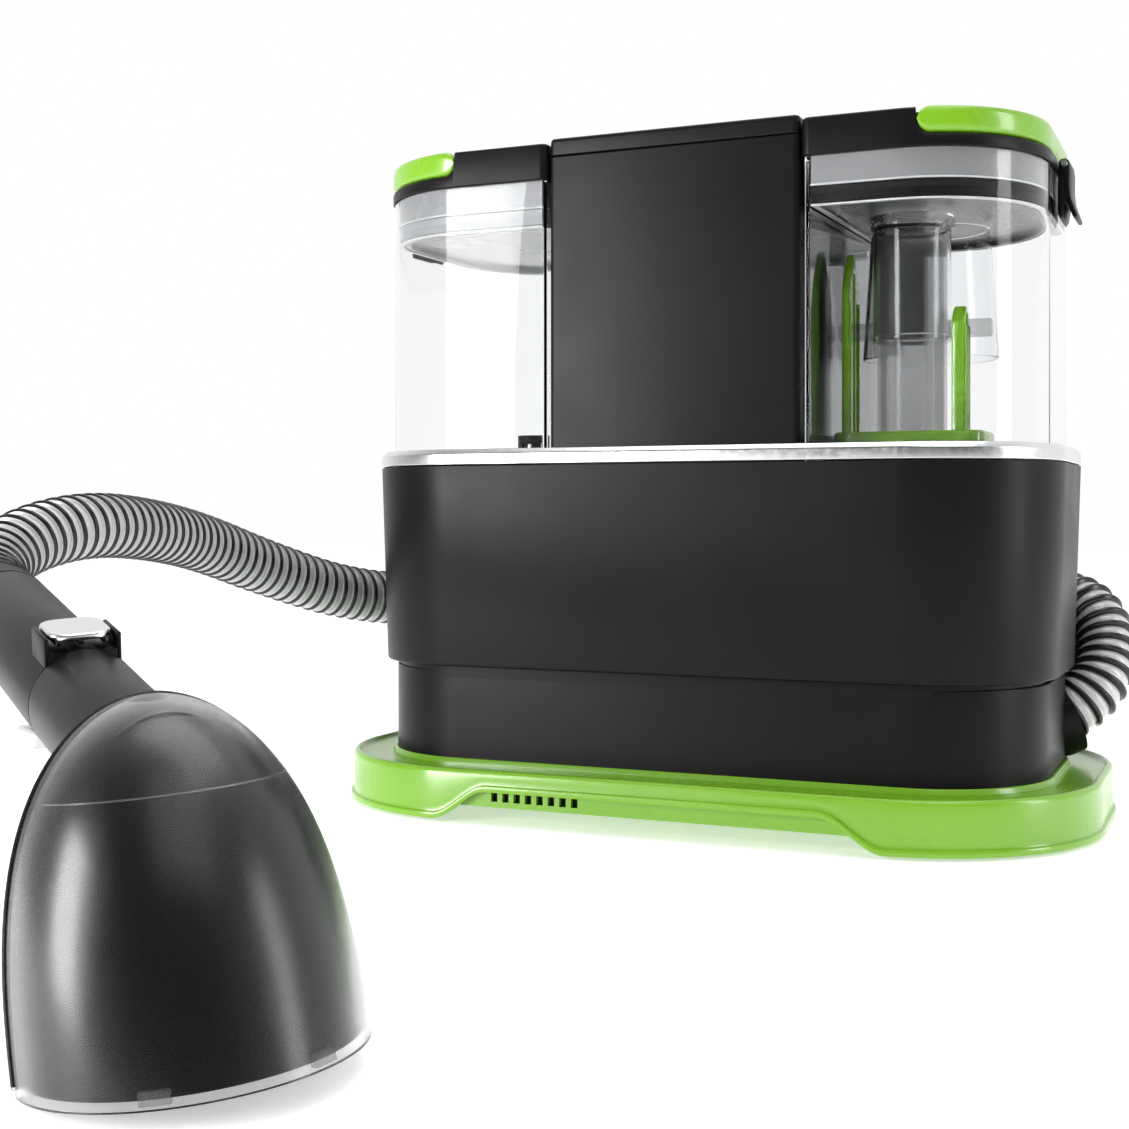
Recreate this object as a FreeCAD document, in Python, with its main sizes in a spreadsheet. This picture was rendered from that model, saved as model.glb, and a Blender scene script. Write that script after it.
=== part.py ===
import FreeCAD, Part
import math
import os
import Sketcher
from FreeCAD import Placement, Rotation, Vector

# Portable spot extractor: a two-tank carpet and upholstery cleaner with its hose and hand tool.
# Millimetres. X runs to the machine's right, Y to its back, Z up from the floor.
# The origin is on the floor under the middle of the machine.

SIZES = {
    # base
    "base_half": 195.0, "base_deep": 116.0, "base_corner": 90.5, "base_top": 26.6, "base_low": 1.6,
    "base_wall": 3.0, "rim_out": 1.6, "rim_high": 2.2, "arch_low": 8.4, "arch_edge": 16.3,
    "arch_outer": 112.0, "arch_inner": 82.0, "pan_gap": 3.6, "post_x": 150.0, "post_y": 60.0,
    "foot_radius": 12.0, "boss_x": 96.0, "boss_y": 84.0, "screw_radius": 1.6,
    # skirt, housing and trim
    "skirt_half": 171.8, "skirt_deep": 86.4, "skirt_corner": 59.1, "skirt_top": 71.6, "wall": 2.8,
    "seam_top": 74.0, "house_half": 176.2, "house_deep": 93.2, "house_corner": 64.1, "house_top": 176.0,
    "house_draft": 1.8, "trim_half": 179.4, "trim_deep": 96.4, "trim_corner": 67.4, "trim_top": 184.0, "trim_ledge": 4.2,
    "deck_low": 170.0, "deck_high": 173.5,
    # column
    "column_left": 59.4, "column_right": 67.2, "column_deep": 91.6, "column_corner": 3.0, "column_top": 327.6, "cap_top": 336.5,
    "cap_well_x": 46.0, "cap_well_y": 30.0, "cap_well_low": 298.0, "well_shift": 18.0,
    "button_radius": 10.7, "button_hole": 11.0, "button_y": -52.0,
    # tanks and lids, each in its own frame: x from the column outwards, z from the tank's underside
    "tank_near": 67.0, "tank_length": 105.0, "tank_deep": 91.6, "tank_outer": 62.0, "tank_inner": 3.0,
    "clean_near_out": 5.7, "dirty_near_out": -2.1,
    "tank_low": 174.0, "tank_wall": 2.2, "tank_high": 142.3, "lid_low": 316.6, "lid_high": 17.8,
    "lid_top": 334.4, "lid_grow": 0.9, "plate_low": 293.6, "plate_inset": 3.0, "seal_low": 295.6, "seal_high": 6.4,
    "latch_out": 4.4, "latch_wide": 26.0, "latch_pin_z": 319.4, "latch_low": 297.0, "rib_low": 308.2,
    "hook_x": 90.0,
    "clean_bail_x": 51.0, "dirty_bail_x": 60.4, "clean_bail_swing": 82.6, "dirty_bail_swing": 81.3,
    "bail_low": 323.0, "bail_high": 12.2, "bail_thick": 9.0, "bail_clear": 0.5,
    # dirty tank inside
    "pipe_x": 108.0, "pipe_y": -35.0, "pipe_radius": 16.6, "sleeve_radius": 18.4, "sleeve_low": 234.0,
    "sleeve_wall": 1.4, "pipe_wall": 1.6, "pipe_top": 284.0, "pin_z": 239.5, "pin_radius": 4.4, "float_low": 184.5,
    "cone_y": 12.0, "cone_low": 229.0, "cone_radius": 34.0, "valve_x": 110.0, "seat_radius": 8.2,
    # motor stack, on the z axis
    "shaft_radius": 4.0, "bearing_gap": 0.05, "can_radius": 46.0, "can_low": 36.0, "can_high": 98.0,
    "shroud_radius": 62.0, "shroud_low": 104.0, "shroud_high": 132.0,
    # hand tool, in its own frame: x across, y back along the handle, z up from the mouth
    "mouth_half": 47.7, "mouth_front": 47.8, "mouth_back": 8.2, "nozzle_high": 99.2, "nozzle_lean": 18.25,
    "dome_power": 2.66, "cover_wall": 2.0, "lip_gap": 5.0, "seam_y": 99.6, "seam_z": 95.8,
    "tube_radius": 18.2, "tube_rise": 14.9, "tube_wall": 2.4, "handle_length": 137.0, "collar_end": 150.0,
    # hose and its port
    "hose_radius": 16.0, "port_x": 112.7, "port_y": 27.3, "port_z": 48.0, "port_turn": 22.0, "port_rise": 24.0,
    "port_inside": 6.0, "gland_x": -95.0, "gland_z": 50.0, "gland_bore": 3.6,
}

TOOL_AT = Vector(-2.4, -454.9, 3.3)
TOOL_YAW = 52.3
TOOL_PITCH = 5.4
TOOL_ROLL = 3.85

HOSE_ROUTE = [
    (-234.0, -288.5, 118.0),
    (-251.0, -267.0, 129.0),
    (-255.0, -238.0, 140.5),
    (-253.0, -200.0, 146.5),
    (-259.0, -150.0, 144.0),
    (-266.0, -95.0, 136.5),
    (-260.0, -40.0, 120.0),
    (-238.0, 15.0, 102.5),
    (-208.0, 68.0, 97.5),
    (-165.0, 108.0, 98.5),
    (-110.0, 127.0, 99.5),
    (-50.0, 130.5, 98.0),
    (20.0, 129.0, 97.5),
    (80.0, 128.0, 99.5),
    (125.0, 126.0, 101.5),
    (158.0, 113.0, 105.5),
    (180.0, 93.0, 100.0),
    (189.0, 76.0, 79.0),
    (182.5, 56.5, 55.5),
]

FLOOR_AXIS = Vector(0, 0, 1)
ALONG_X = Rotation(Vector(0, 1, 0), 90)
ALONG_Y = Rotation(Vector(1, 0, 0), -90)
UPRIGHT = Rotation()

doc = FreeCAD.newDocument("spot_extractor")
dims = doc.addObject("Spreadsheet::Sheet", "dims")
for row, (alias, size) in enumerate(SIZES.items(), start=1):
    dims.set(f"A{row}", alias)
    dims.set(f"B{row}", str(size))
    dims.setAlias(f"B{row}", alias)
doc.recompute()

parts = {}


def amount(expression):
    """The number that an expression of the sheet stands for now."""
    return float(dims.evalExpression(str(expression)))


def bind(item, settings):
    """Tie each named property of an object to an expression of the sheet."""
    for name, expression in settings.items():
        item.setExpression(name, str(expression))


def place(item, at, turn=UPRIGHT):
    """Put an object at three expressions, with a fixed turn."""
    item.Placement = Placement(Vector(*(amount(value) for value in at)), turn)
    for axis, value in zip("xyz", at):
        item.setExpression(f"Placement.Base.{axis}", str(value))
    return item


def keep(node, item):
    """Name a finished sub-part."""
    item.Label = node
    parts[node] = item
    return item


def box(at, size, centred="xy"):
    """A box from its middle in the named directions and from its low side in the others."""
    item = doc.addObject("Part::Box", "block")
    bind(item, dict(zip(("Length", "Width", "Height"), size)))
    corner = [f"({value}) - ({length}) / 2" if axis in centred else value
              for axis, value, length in zip("xyz", at, size)]
    return place(item, corner)


def rod(at, radius, length, turn=UPRIGHT):
    """A round bar from one end."""
    item = doc.addObject("Part::Cylinder", "rod")
    bind(item, {"Radius": radius, "Height": length})
    return place(item, at, turn)


def taper(at, low, high, length, turn=UPRIGHT):
    """A cone's frustum from its low end."""
    item = doc.addObject("Part::Cone", "taper")
    bind(item, {"Radius1": low, "Radius2": high, "Height": length})
    return place(item, at, turn)


def cut(base, tools):
    """A solid less the others."""
    item = doc.addObject("Part::Cut", "cut")
    item.Base = base
    item.Tool = tools[0] if len(tools) == 1 else join(tools)
    return item


def join(items):
    """Solids run together into one."""
    item = doc.addObject("Part::MultiFuse", "join")
    item.Shapes = items
    item.Refine = True
    return item


def overlap(items):
    """What solids have in common."""
    item = doc.addObject("Part::MultiCommon", "common")
    item.Shapes = items
    return item


def group(items):
    """Separate solids of one node."""
    item = doc.addObject("Part::Compound", "group")
    item.Links = items
    return item


def pipe(at, radius, wall, length, turn=UPRIGHT):
    """A straight tube from its low end."""
    inner = f"({radius}) - ({wall})"
    return cut(rod(at, radius, length, turn), [rod(at, inner, length, turn)])


def round_edges(item, radius, chosen):
    """Fillet the edges that a test of their middle point picks."""
    doc.recompute()
    rounded = doc.addObject("Part::Fillet", "rounded")
    rounded.Base = item
    picked = []
    for number, edge in enumerate(item.Shape.Edges, start=1):
        middle = edge.valueAt((edge.FirstParameter + edge.LastParameter) / 2)
        if chosen(middle):
            picked.append((number, radius, radius))
    rounded.Edges = picked
    return rounded


def origin_plane(body, role):
    """One of a body's own origin planes."""
    return [item for item in body.Origin.OriginFeatures if item.Role == role][0]


def new_sketch(body, height="0", role="XY_Plane"):
    """An empty sketch on a body's origin plane, moved along its normal."""
    sketch = body.newObject("Sketcher::SketchObject", "outline")
    sketch.AttachmentSupport = [(origin_plane(body, role), "")]
    sketch.MapMode = "FlatFace"
    sketch.setExpression("AttachmentOffset.Base.z", str(height))
    return sketch


def slab_outline(body, near, far, deep, near_corner, far_corner, height="0"):
    """A rectangle from x = -near to x = far and y = -deep to deep, with its corners rounded."""
    sketch = new_sketch(body, height)
    left, right, half, small, large = (amount(v) for v in (near, far, deep, near_corner, far_corner))
    corners = [
        (right - large, -half + large, large, -90),
        (right - large, half - large, large, 0),
        (-left + small, half - small, small, 90),
        (-left + small, -half + small, small, 180),
    ]
    arcs = []
    ends = []
    for x, y, radius, start in corners:
        circle = Part.Circle(Vector(x, y, 0), FLOOR_AXIS, radius)
        arc = Part.ArcOfCircle(circle, math.radians(start), math.radians(start + 90))
        arcs.append(sketch.addGeometry(arc))
        ends.append((arc.StartPoint, arc.EndPoint))
    lines = []
    for index in range(4):
        line = Part.LineSegment(ends[index][1], ends[(index + 1) % 4][0])
        lines.append(sketch.addGeometry(line))
    for index in range(4):
        sketch.addConstraint(Sketcher.Constraint("Tangent", arcs[index], 2, lines[index], 1))
        sketch.addConstraint(Sketcher.Constraint("Tangent", lines[index], 2, arcs[(index + 1) % 4], 1))
    sketch.addConstraint(Sketcher.Constraint("Horizontal", lines[1]))
    sketch.addConstraint(Sketcher.Constraint("Symmetric", lines[0], 1, lines[0], 2, -1))
    sketch.addConstraint(Sketcher.Constraint("Symmetric", lines[2], 1, lines[2], 2, -1))
    sketch.addConstraint(Sketcher.Constraint("Equal", arcs[0], arcs[1]))
    sketch.addConstraint(Sketcher.Constraint("Equal", arcs[2], arcs[3]))
    driven = [
        (Sketcher.Constraint("DistanceX", -1, 1, lines[0], 1, right), far),
        (Sketcher.Constraint("DistanceX", lines[2], 1, -1, 1, left), near),
        (Sketcher.Constraint("DistanceY", lines[3], 1, -1, 1, half), deep),
        (Sketcher.Constraint("Radius", arcs[0], large), far_corner),
        (Sketcher.Constraint("Radius", arcs[2], small), near_corner),
    ]
    for constraint, expression in driven:
        number = sketch.addConstraint(constraint)
        sketch.setExpression(f"Constraints[{number}]", str(expression))
    return sketch


def pad(body, sketch, length, draft=None):
    """Raise a sketch upwards."""
    feature = body.newObject("PartDesign::Pad", "raise")
    feature.Profile = sketch
    feature.setExpression("Length", str(length))
    if draft:
        feature.setExpression("TaperAngle", str(draft))
    return feature


def sink(body, sketch, depth, draft=None):
    """Cut a sketch upwards out of the body, from the sketch's own height."""
    feature = body.newObject("PartDesign::Pocket", "sink")
    feature.Profile = sketch
    feature.Reversed = True
    feature.setExpression("Length", str(depth))
    if draft:
        feature.setExpression("TaperAngle", str(draft))
    doc.recompute()
    return feature


def slab(outline, low, high, name="slab"):
    """A body that is one slab between two heights, with outline = near, far, deep and two corners."""
    body = doc.addObject("PartDesign::Body", name)
    pad(body, slab_outline(body, *outline, height=low), f"({high}) - ({low})")
    doc.recompute()
    return body


def hollow(body, outline, low, high, draft=None):
    """Take a slab-shaped space out of a body."""
    before = body.Shape.Volume
    sink(body, slab_outline(body, *outline, height=low), f"({high}) - ({low})", draft)
    if body.Shape.Volume >= before - 1:
        raise RuntimeError(f"nothing was cut from {body.Label}")
    return body


def soften_rim(body, height, size):
    """Round the edges of a body's face at one height."""
    doc.recompute()
    base = body.Tip
    names = []
    for number, edge in enumerate(body.Shape.Edges, start=1):
        points = [vertex.Point for vertex in edge.Vertexes]
        if all(abs(point.z - height) < 0.01 for point in points):
            names.append(f"Edge{number}")
    feature = body.newObject("PartDesign::Fillet", "soften")
    feature.Base = (base, names)
    feature.Radius = size
    doc.recompute()
    return feature


def inset(outline, amount_in):
    """The outline of a slab, taken in by one distance all round."""
    return [f"({value}) - ({amount_in})" for value in outline]


# ------------------------------------------------------------------ base

def outline_cells(name):
    """The five cells that give one outline: near side, far side, depth and both corners."""
    return [f"dims.{name}_{cell}" for cell in ("half", "half", "deep", "corner", "corner")]


BASE = outline_cells("base")
SKIRT = outline_cells("skirt")
HOUSE = outline_cells("house")
TRIM = outline_cells("trim")
COLUMN = ["dims.column_left", "dims.column_right", "dims.column_deep", "dims.column_corner",
          "dims.column_corner"]


def arch(edge, side_gap):
    """The space under the base between its feet: flat on top, with an S-bend down at each end."""
    body = doc.addObject("PartDesign::Body", "arch")
    sketch = new_sketch(body, f"-{SIZES['base_deep'] + 10}", "XZ_Plane")
    top = amount(edge)
    outer = amount("dims.arch_outer") + side_gap
    inner = amount("dims.arch_inner") + side_gap
    run = outer - inner
    radius = (run ** 2 + top ** 2) / (4 * top)
    middle = Vector((outer + inner) / 2, top / 2, 0)
    sweep = math.asin(run / 2 / radius)
    low_middle = Vector(outer - radius * math.sin(sweep / 2), radius - radius * math.cos(sweep / 2), 0)
    high_middle = Vector(inner + radius * math.sin(sweep / 2), top - radius + radius * math.cos(sweep / 2), 0)
    right = [Vector(outer, 0, 0), low_middle, middle, high_middle, Vector(inner, top, 0)]
    left = [Vector(-point.x, point.y, 0) for point in reversed(right)]
    sketch.addGeometry(Part.Arc(*right[0:3]))
    sketch.addGeometry(Part.Arc(*right[2:5]))
    sketch.addGeometry(Part.LineSegment(right[4], left[0]))
    sketch.addGeometry(Part.Arc(*left[0:3]))
    sketch.addGeometry(Part.Arc(*left[2:5]))
    below_right = Vector(outer, -5, 0)
    below_left = Vector(-outer, -5, 0)
    sketch.addGeometry(Part.LineSegment(left[4], below_left))
    sketch.addGeometry(Part.LineSegment(below_left, below_right))
    sketch.addGeometry(Part.LineSegment(below_right, right[0]))
    feature = pad(body, sketch, "dims.base_deep * 2 + 20")
    doc.recompute()
    return body, feature


def build_base():
    shell = slab(BASE, "dims.base_low", "dims.base_top", "cover_shell")
    soften_rim(shell, SIZES["base_top"], 2.0)
    hollow(shell, inset(BASE, "dims.base_wall"), "dims.base_low", "dims.base_top - dims.base_wall")
    rim = slab(inset(BASE, "-dims.rim_out"), "dims.base_low", "dims.base_low + dims.rim_high", "rim")
    hollow(rim, inset(BASE, "dims.base_wall"), "dims.base_low", "dims.base_low + dims.rim_high")
    space, _ = arch("dims.arch_edge", 0.0)
    cover = cut(join([shell, rim]), [space])
    spots = [(x, y) for x in ("dims.boss_x", "-dims.boss_x") for y in ("dims.boss_y", "-dims.boss_y")]
    bosses = [cut(rod((x, y, "dims.arch_low + 3"), 5, "dims.base_top - dims.base_wall - dims.arch_low - 3"),
                  [rod((x, y, "dims.arch_low + 3"), "dims.screw_radius", 11)]) for x, y in spots]
    keep("base_cover", join([cover] + bosses))

    pan = slab(inset(BASE, "dims.pan_gap"), "dims.arch_low", "dims.arch_edge + 3", "pan_shell")
    hollow(pan, inset(BASE, "dims.pan_gap + 2.6"), "dims.arch_low + 2.6", "dims.arch_edge + 3")
    posts = [rod((x, y, "dims.base_low"), 15, "dims.arch_low - dims.base_low + 1")
             for x in ("dims.post_x", "-dims.post_x") for y in ("dims.post_y", "-dims.post_y")]
    vents = [box((f"{-79.3 + 6.05 * step}", "-dims.base_deep + dims.pan_gap + 1", "dims.arch_low + 2.8"),
                 ("3.4", "12", "5.2")) for step in range(8)]
    clear = [rod((x, y, "dims.arch_low - 1"), 2.2, 6) for x, y in spots]
    keep("base_pan", cut(join([pan] + posts), vents + clear))

    feet = [rod((x, y, "0"), "dims.foot_radius", "dims.base_low")
            for x in ("dims.post_x", "-dims.post_x") for y in ("dims.post_y", "-dims.post_y")]
    keep("rubber_feet", group(feet))
    screws = [join([rod((x, y, "dims.arch_low - 1.8"), 3.6, 1.8), rod((x, y, "dims.arch_low - 0.5"),
              "dims.screw_radius", 11)]) for x, y in spots]
    keep("base_screws", group(screws))


# ------------------------------------------------------------------ skirt, housing, trim and deck

def port_mouth():
    """Where the hose port's axis leaves the skirt, and the way it points."""
    turn = math.radians(SIZES["port_turn"])
    rise = math.radians(SIZES["port_rise"])
    level = Vector(math.cos(turn), math.sin(turn), 0)
    mouth = Vector(SIZES["port_x"], SIZES["port_y"], SIZES["port_z"]) + level * SIZES["skirt_corner"]
    return mouth, level * math.cos(rise) + FLOOR_AXIS * math.sin(rise)


def port_rod(radius, start, length):
    """A bar along the hose port's axis, from a distance out of its mouth."""
    mouth, axis = port_mouth()
    item = doc.addObject("Part::Cylinder", "port_rod")
    bind(item, {"Radius": radius, "Height": length})
    item.Placement = Placement(mouth + axis * start, Rotation(FLOOR_AXIS, axis))
    return item


def build_housing():
    skirt = slab(SKIRT, "dims.base_top", "dims.skirt_top", "skirt_shell")
    hollow(skirt, inset(SKIRT, "dims.wall"), "dims.base_top", "dims.skirt_top")
    lead_hole = rod(("dims.gland_x", "dims.skirt_deep - 10", "dims.gland_z"), "dims.gland_bore", 20, ALONG_Y)
    keep("lower_skirt", cut(skirt, [port_rod(19.0, -25, 50), lead_hole]))

    lip = slab(inset(SKIRT, "dims.wall + 0.4"), "dims.skirt_top - 5", "dims.seam_top + 1", "lip")
    hollow(lip, inset(SKIRT, "dims.wall + 3"), "dims.skirt_top - 5", "dims.seam_top + 1")
    shell = doc.addObject("PartDesign::Body", "housing_shell")
    outline = slab_outline(shell, *HOUSE, height="dims.seam_top")
    pad(shell, outline, "dims.house_top - dims.seam_top", "dims.house_draft")
    doc.recompute()
    inner = [inset(HOUSE, "dims.wall"), "dims.seam_top + dims.wall", "dims.house_top"]
    hollow(shell, *inner, draft="dims.house_draft")
    opening = box(("0", "0", "dims.seam_top - 1"), ("300", "140", "10"))
    hooks = [hook_screw_hole(x) for x in ("-dims.hook_x", "dims.hook_x")]
    keep("main_housing", cut(join([shell, lip]), [opening] + hooks))

    ring = slab(TRIM, "dims.house_top", "dims.trim_top", "ring_shell")
    soften_rim(ring, SIZES["trim_top"], 2.4)
    hollow(ring, inset(TRIM, "dims.trim_ledge"), "dims.house_top", "dims.trim_top")
    keep("trim_ring", ring)

    deck = slab(inset(TRIM, "dims.wall + 0.8"), "dims.deck_low", "dims.deck_high", "deck_plate")
    valve = ("-dims.valve_x", "0")
    cup_low = "dims.deck_low - 9"
    wells = [rod((*valve, cup_low), "dims.seat_radius + 0.6", 20),
             rod(("dims.pipe_x", "dims.pipe_y", "dims.deck_low - 1"), "dims.pipe_radius + 0.8", 8),
             box(("0", "0", "dims.deck_low - 1"), ("90", "120", "8"))]
    cup = cut(rod((*valve, cup_low), 11, 9), [rod((*valve, "dims.deck_low - 6"), "dims.seat_radius + 0.6", 10),
                                             rod((*valve, "dims.deck_low - 10"), 4.6, 10)])
    bar = box((*valve, cup_low), ("19", "2.4", "3"))
    pusher = rod((*valve, cup_low), 1.6, "dims.tank_low - 2.3 - (dims.deck_low - 9)")
    keep("tank_deck", join([cut(deck, wells), cup, bar, pusher]))


def hook_screw_hole(x):
    """The hole behind a rear hook."""
    return rod((f"{x}", "dims.house_deep - 5", "98"), 2.2, 14, ALONG_Y)


# ------------------------------------------------------------------ column

def build_column():
    shell = slab(COLUMN, "dims.deck_high", "dims.column_top", "column_shell")
    hollow(shell, inset(COLUMN, "dims.wall"), "dims.deck_high", "dims.column_top")
    front_half = box(("0", "-60", "dims.deck_high"), ("200", "120", "200"))
    back_half = box(("0", "60", "dims.deck_high"), ("200", "120", "200"))
    keep("column_front", overlap([shell, front_half]))
    grille = [box(("0", "dims.column_deep", f"{210 + 7 * step}"), ("60", "12", "3.4")) for step in range(6)]
    back_shell = slab(COLUMN, "dims.deck_high", "dims.column_top", "back_shell")
    hollow(back_shell, inset(COLUMN, "dims.wall"), "dims.deck_high", "dims.column_top")
    keep("column_back", cut(overlap([back_shell, back_half]), grille))

    cap = slab(COLUMN, "dims.column_top", "dims.cap_top", "cap_shell")
    soften_rim(cap, SIZES["cap_top"], 2.5)
    hollow(cap, inset(COLUMN, "dims.wall"), "dims.column_top", "dims.cap_top - dims.wall")
    well_at = ("0", "dims.well_shift", "dims.cap_well_low")
    well_wall = box(well_at, ("dims.cap_well_x * 2 + 5", "dims.cap_well_y * 2 + 5",
                              "dims.cap_top - dims.cap_well_low - 1"))
    well = box(("0", "dims.well_shift", "dims.cap_well_low + 2.5"),
               ("dims.cap_well_x * 2", "dims.cap_well_y * 2", "60"))
    guide = rod(("0", "dims.button_y", "dims.column_top"), 14, "dims.cap_top - dims.column_top - 1")
    hole = rod(("0", "dims.button_y", "dims.column_top - 5"), "dims.button_hole", 40)
    keep("column_cap", cut(join([cap, well_wall, guide]), [well, hole]))

    grip = box(("0", "dims.well_shift", "dims.cap_top - 19"), ("dims.cap_well_x * 2", "22", "18"))
    keep("carry_grip", round_edges(grip, 4.0, lambda point: abs(point.x) < 1))

    cap_button = rod(("0", "dims.button_y", "dims.cap_top - 8.5"), "dims.button_radius", 8.2)
    stem = rod(("0", "dims.button_y", "dims.cap_top - 20"), 3, 13)
    keep("power_button", round_edges(join([cap_button, stem]), 0.8, lambda p: p.z > SIZES["cap_top"] - 0.5))
    switch = box(("0", "dims.button_y", "dims.cap_top - 38"), ("22", "16", "15.5"))
    bridge = box(("0", "dims.button_y - 17.75", "dims.cap_top - 38"), ("22", "37.3", "3"))
    keep("power_switch", join([switch, bridge]))


# ------------------------------------------------------------------ motor, fan and pump

def build_motor():
    plate = box(("0", "0", "dims.base_top"), ("150", "120", "3"))
    bracket_ring = pipe(("0", "0", "dims.base_top + 2"), "dims.can_radius - 6", "5", "7.4")
    lower_bearing = pipe(("0", "0", "dims.base_top + 2"), "9", "9 - 5", "2")
    keep("motor_bracket", join([plate, bracket_ring, lower_bearing]))

    can = rod(("0", "0", "dims.can_low"), "dims.can_radius", "dims.can_high - dims.can_low")
    bore = rod(("0", "0", "dims.can_low + 4"), "dims.can_radius - 3", "dims.can_high - dims.can_low - 8")
    shaft_hole = rod(("0", "0", "dims.can_low - 1"), "dims.shaft_radius + dims.bearing_gap",
                     "dims.can_high - dims.can_low + 2")
    slots = [box((f"{44 * math.cos(angle)}", f"{44 * math.sin(angle)}", "dims.can_low + 12"), ("9", "9", "10"))
             for angle in (step * math.pi / 3 for step in range(6))]
    keep("motor_can", cut(can, [bore, shaft_hole] + slots))

    shaft = rod(("0", "0", "dims.can_low - 1"), "dims.shaft_radius", "90")
    core = rod(("0", "0", "dims.can_low + 12"), "dims.can_radius - 14", "36")
    commutator = rod(("0", "0", "dims.can_low + 49"), "11", "7")
    keep("motor_rotor", join([shaft, core, commutator]))

    keep("motor_gasket", pipe(("0", "0", "dims.can_high"), "dims.can_radius - 2", "10",
                              "dims.shroud_low - dims.can_high"))
    shroud = rod(("0", "0", "dims.shroud_low"), "dims.shroud_radius", "dims.shroud_high - dims.shroud_low")
    chamber = rod(("0", "0", "dims.shroud_low + 2.5"), "dims.shroud_radius - 3",
                  "dims.shroud_high - dims.shroud_low - 5")
    inlet = rod(("0", "0", "dims.shroud_high - 4"), 19, 10)
    shaft_gap = rod(("0", "0", "dims.shroud_low - 1"), 6, 6)
    outlet = box(("40", "50", "dims.shroud_low + 5"), ("22", "40", "18"))
    keep("fan_shroud", cut(shroud, [chamber, inlet, shaft_gap, outlet]))

    back_plate = rod(("0", "0", "dims.shroud_low + 6"), "dims.shroud_radius - 8", 2)
    hub = rod(("0", "0", "dims.shroud_low + 6"), 10, 12)
    blades = []
    for step in range(9):
        blade = box(("29", "0", "dims.shroud_low + 7"), ("46", "2", "10.4"))
        blade.Placement = Placement(Vector(), Rotation(FLOOR_AXIS, 40 * step)).multiply(blade.Placement)
        clear_expressions(blade)
        blades.append(blade)
    bore_hole = rod(("0", "0", "dims.shroud_low"), "dims.shaft_radius", 30)
    keep("suction_impeller", cut(join([back_plate, hub] + blades), [bore_hole]))

    low = pipe(("0", "0", "dims.shroud_high"), "21", "2.4", "24")
    elbow = cut(box(("0", "0", "dims.shroud_high + 22"), ("48", "48", "14")),
                [rod(("0", "0", "dims.shroud_high + 20"), "18.6", "6"),
                 box(("0", "0", "dims.shroud_high + 24.5"), ("43", "43", "20"))])
    keep("air_duct", join([low, elbow]))


def clear_expressions(item):
    """Leave a turned copy where it is."""
    for axis in "xyz":
        item.setExpression(f"Placement.Base.{axis}", None)


def build_pump():
    body = box(("-110", "0", "dims.base_top"), ("52", "40", "30"))
    bore = rod(("-112", "0", "dims.base_top + 16"), 9.05, 30, ALONG_X)
    front = rod(("-137", "0", "dims.base_top + 16"), 3, 60, ALONG_X)
    keep("pump_body", cut(body, [bore, front]))
    keep("pump_piston", rod(("-103.8", "0", "dims.base_top + 16"), 9.0, 13.8, ALONG_X))
    spring = doc.addObject("Part::Helix", "coil_line")
    spring.Pitch = 2.2
    spring.Height = 6.6
    spring.Radius = 6.5
    wire = doc.addObject("Part::Circle", "coil_wire")
    wire.Radius = 0.7
    wire.Placement = Placement(Vector(6.5, 0, 0), Rotation(Vector(1, 0, 0), 90))
    coil = doc.addObject("Part::Sweep", "coil")
    coil.Sections = [wire]
    coil.Spine = (spring, [])
    coil.Solid = True
    coil.Frenet = True
    coil.Placement = Placement(Vector(-111.2, 0, SIZES["base_top"] + 16), ALONG_X)
    keep("pump_spring", coil)
    feed = rod(("-dims.valve_x", "0", "dims.base_top + 30"), 4, "dims.deck_low - dims.base_top - 44")
    stub = rod(("-dims.valve_x", "0", "dims.deck_low - 15"), 6.5, 6)
    keep("pump_feed_tube", join([feed, stub]))


# ------------------------------------------------------------------ tanks and lids

def tank_inset(name, distance):
    """A tank's outline in its own frame, taken in by a distance."""
    side_name = name.split("_")[0]
    return [f"dims.{side_name}_near_out - ({distance})", f"dims.tank_length - ({distance})", f"dims.tank_deep - ({distance})",
            f"max(0.8; dims.tank_inner - ({distance}))", f"dims.tank_outer - ({distance})"]


def set_side(item, side):
    """Move a piece modelled from the column outwards to one side of the machine."""
    if side > 0:
        item.Placement = Placement(Vector(SIZES["tank_near"], 0, 0), Rotation())
    else:
        item.Placement = Placement(Vector(-SIZES["tank_near"], 0, 0), Rotation(FLOOR_AXIS, 180))
    return item


def tank_slab(distance, low, high, name):
    return slab(tank_inset(name, distance), low, high, name)


def build_tank(side, name):
    shell = tank_slab("0", "dims.tank_low", "dims.tank_low + dims.tank_high", name + "_shell")
    hollow(shell, tank_inset(name, "dims.tank_wall"), "dims.tank_low + dims.tank_wall",
           "dims.tank_low + dims.tank_high")
    set_side(shell, side)
    return shell


def bail_band(distance, thickness, low, high, name):
    """A U-shaped band round a lid's outer end, open towards the column."""
    band = tank_slab(distance, low, high, name)
    hollow(band, tank_inset(name, f"({distance}) + ({thickness})"), low, high)
    return band


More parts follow.
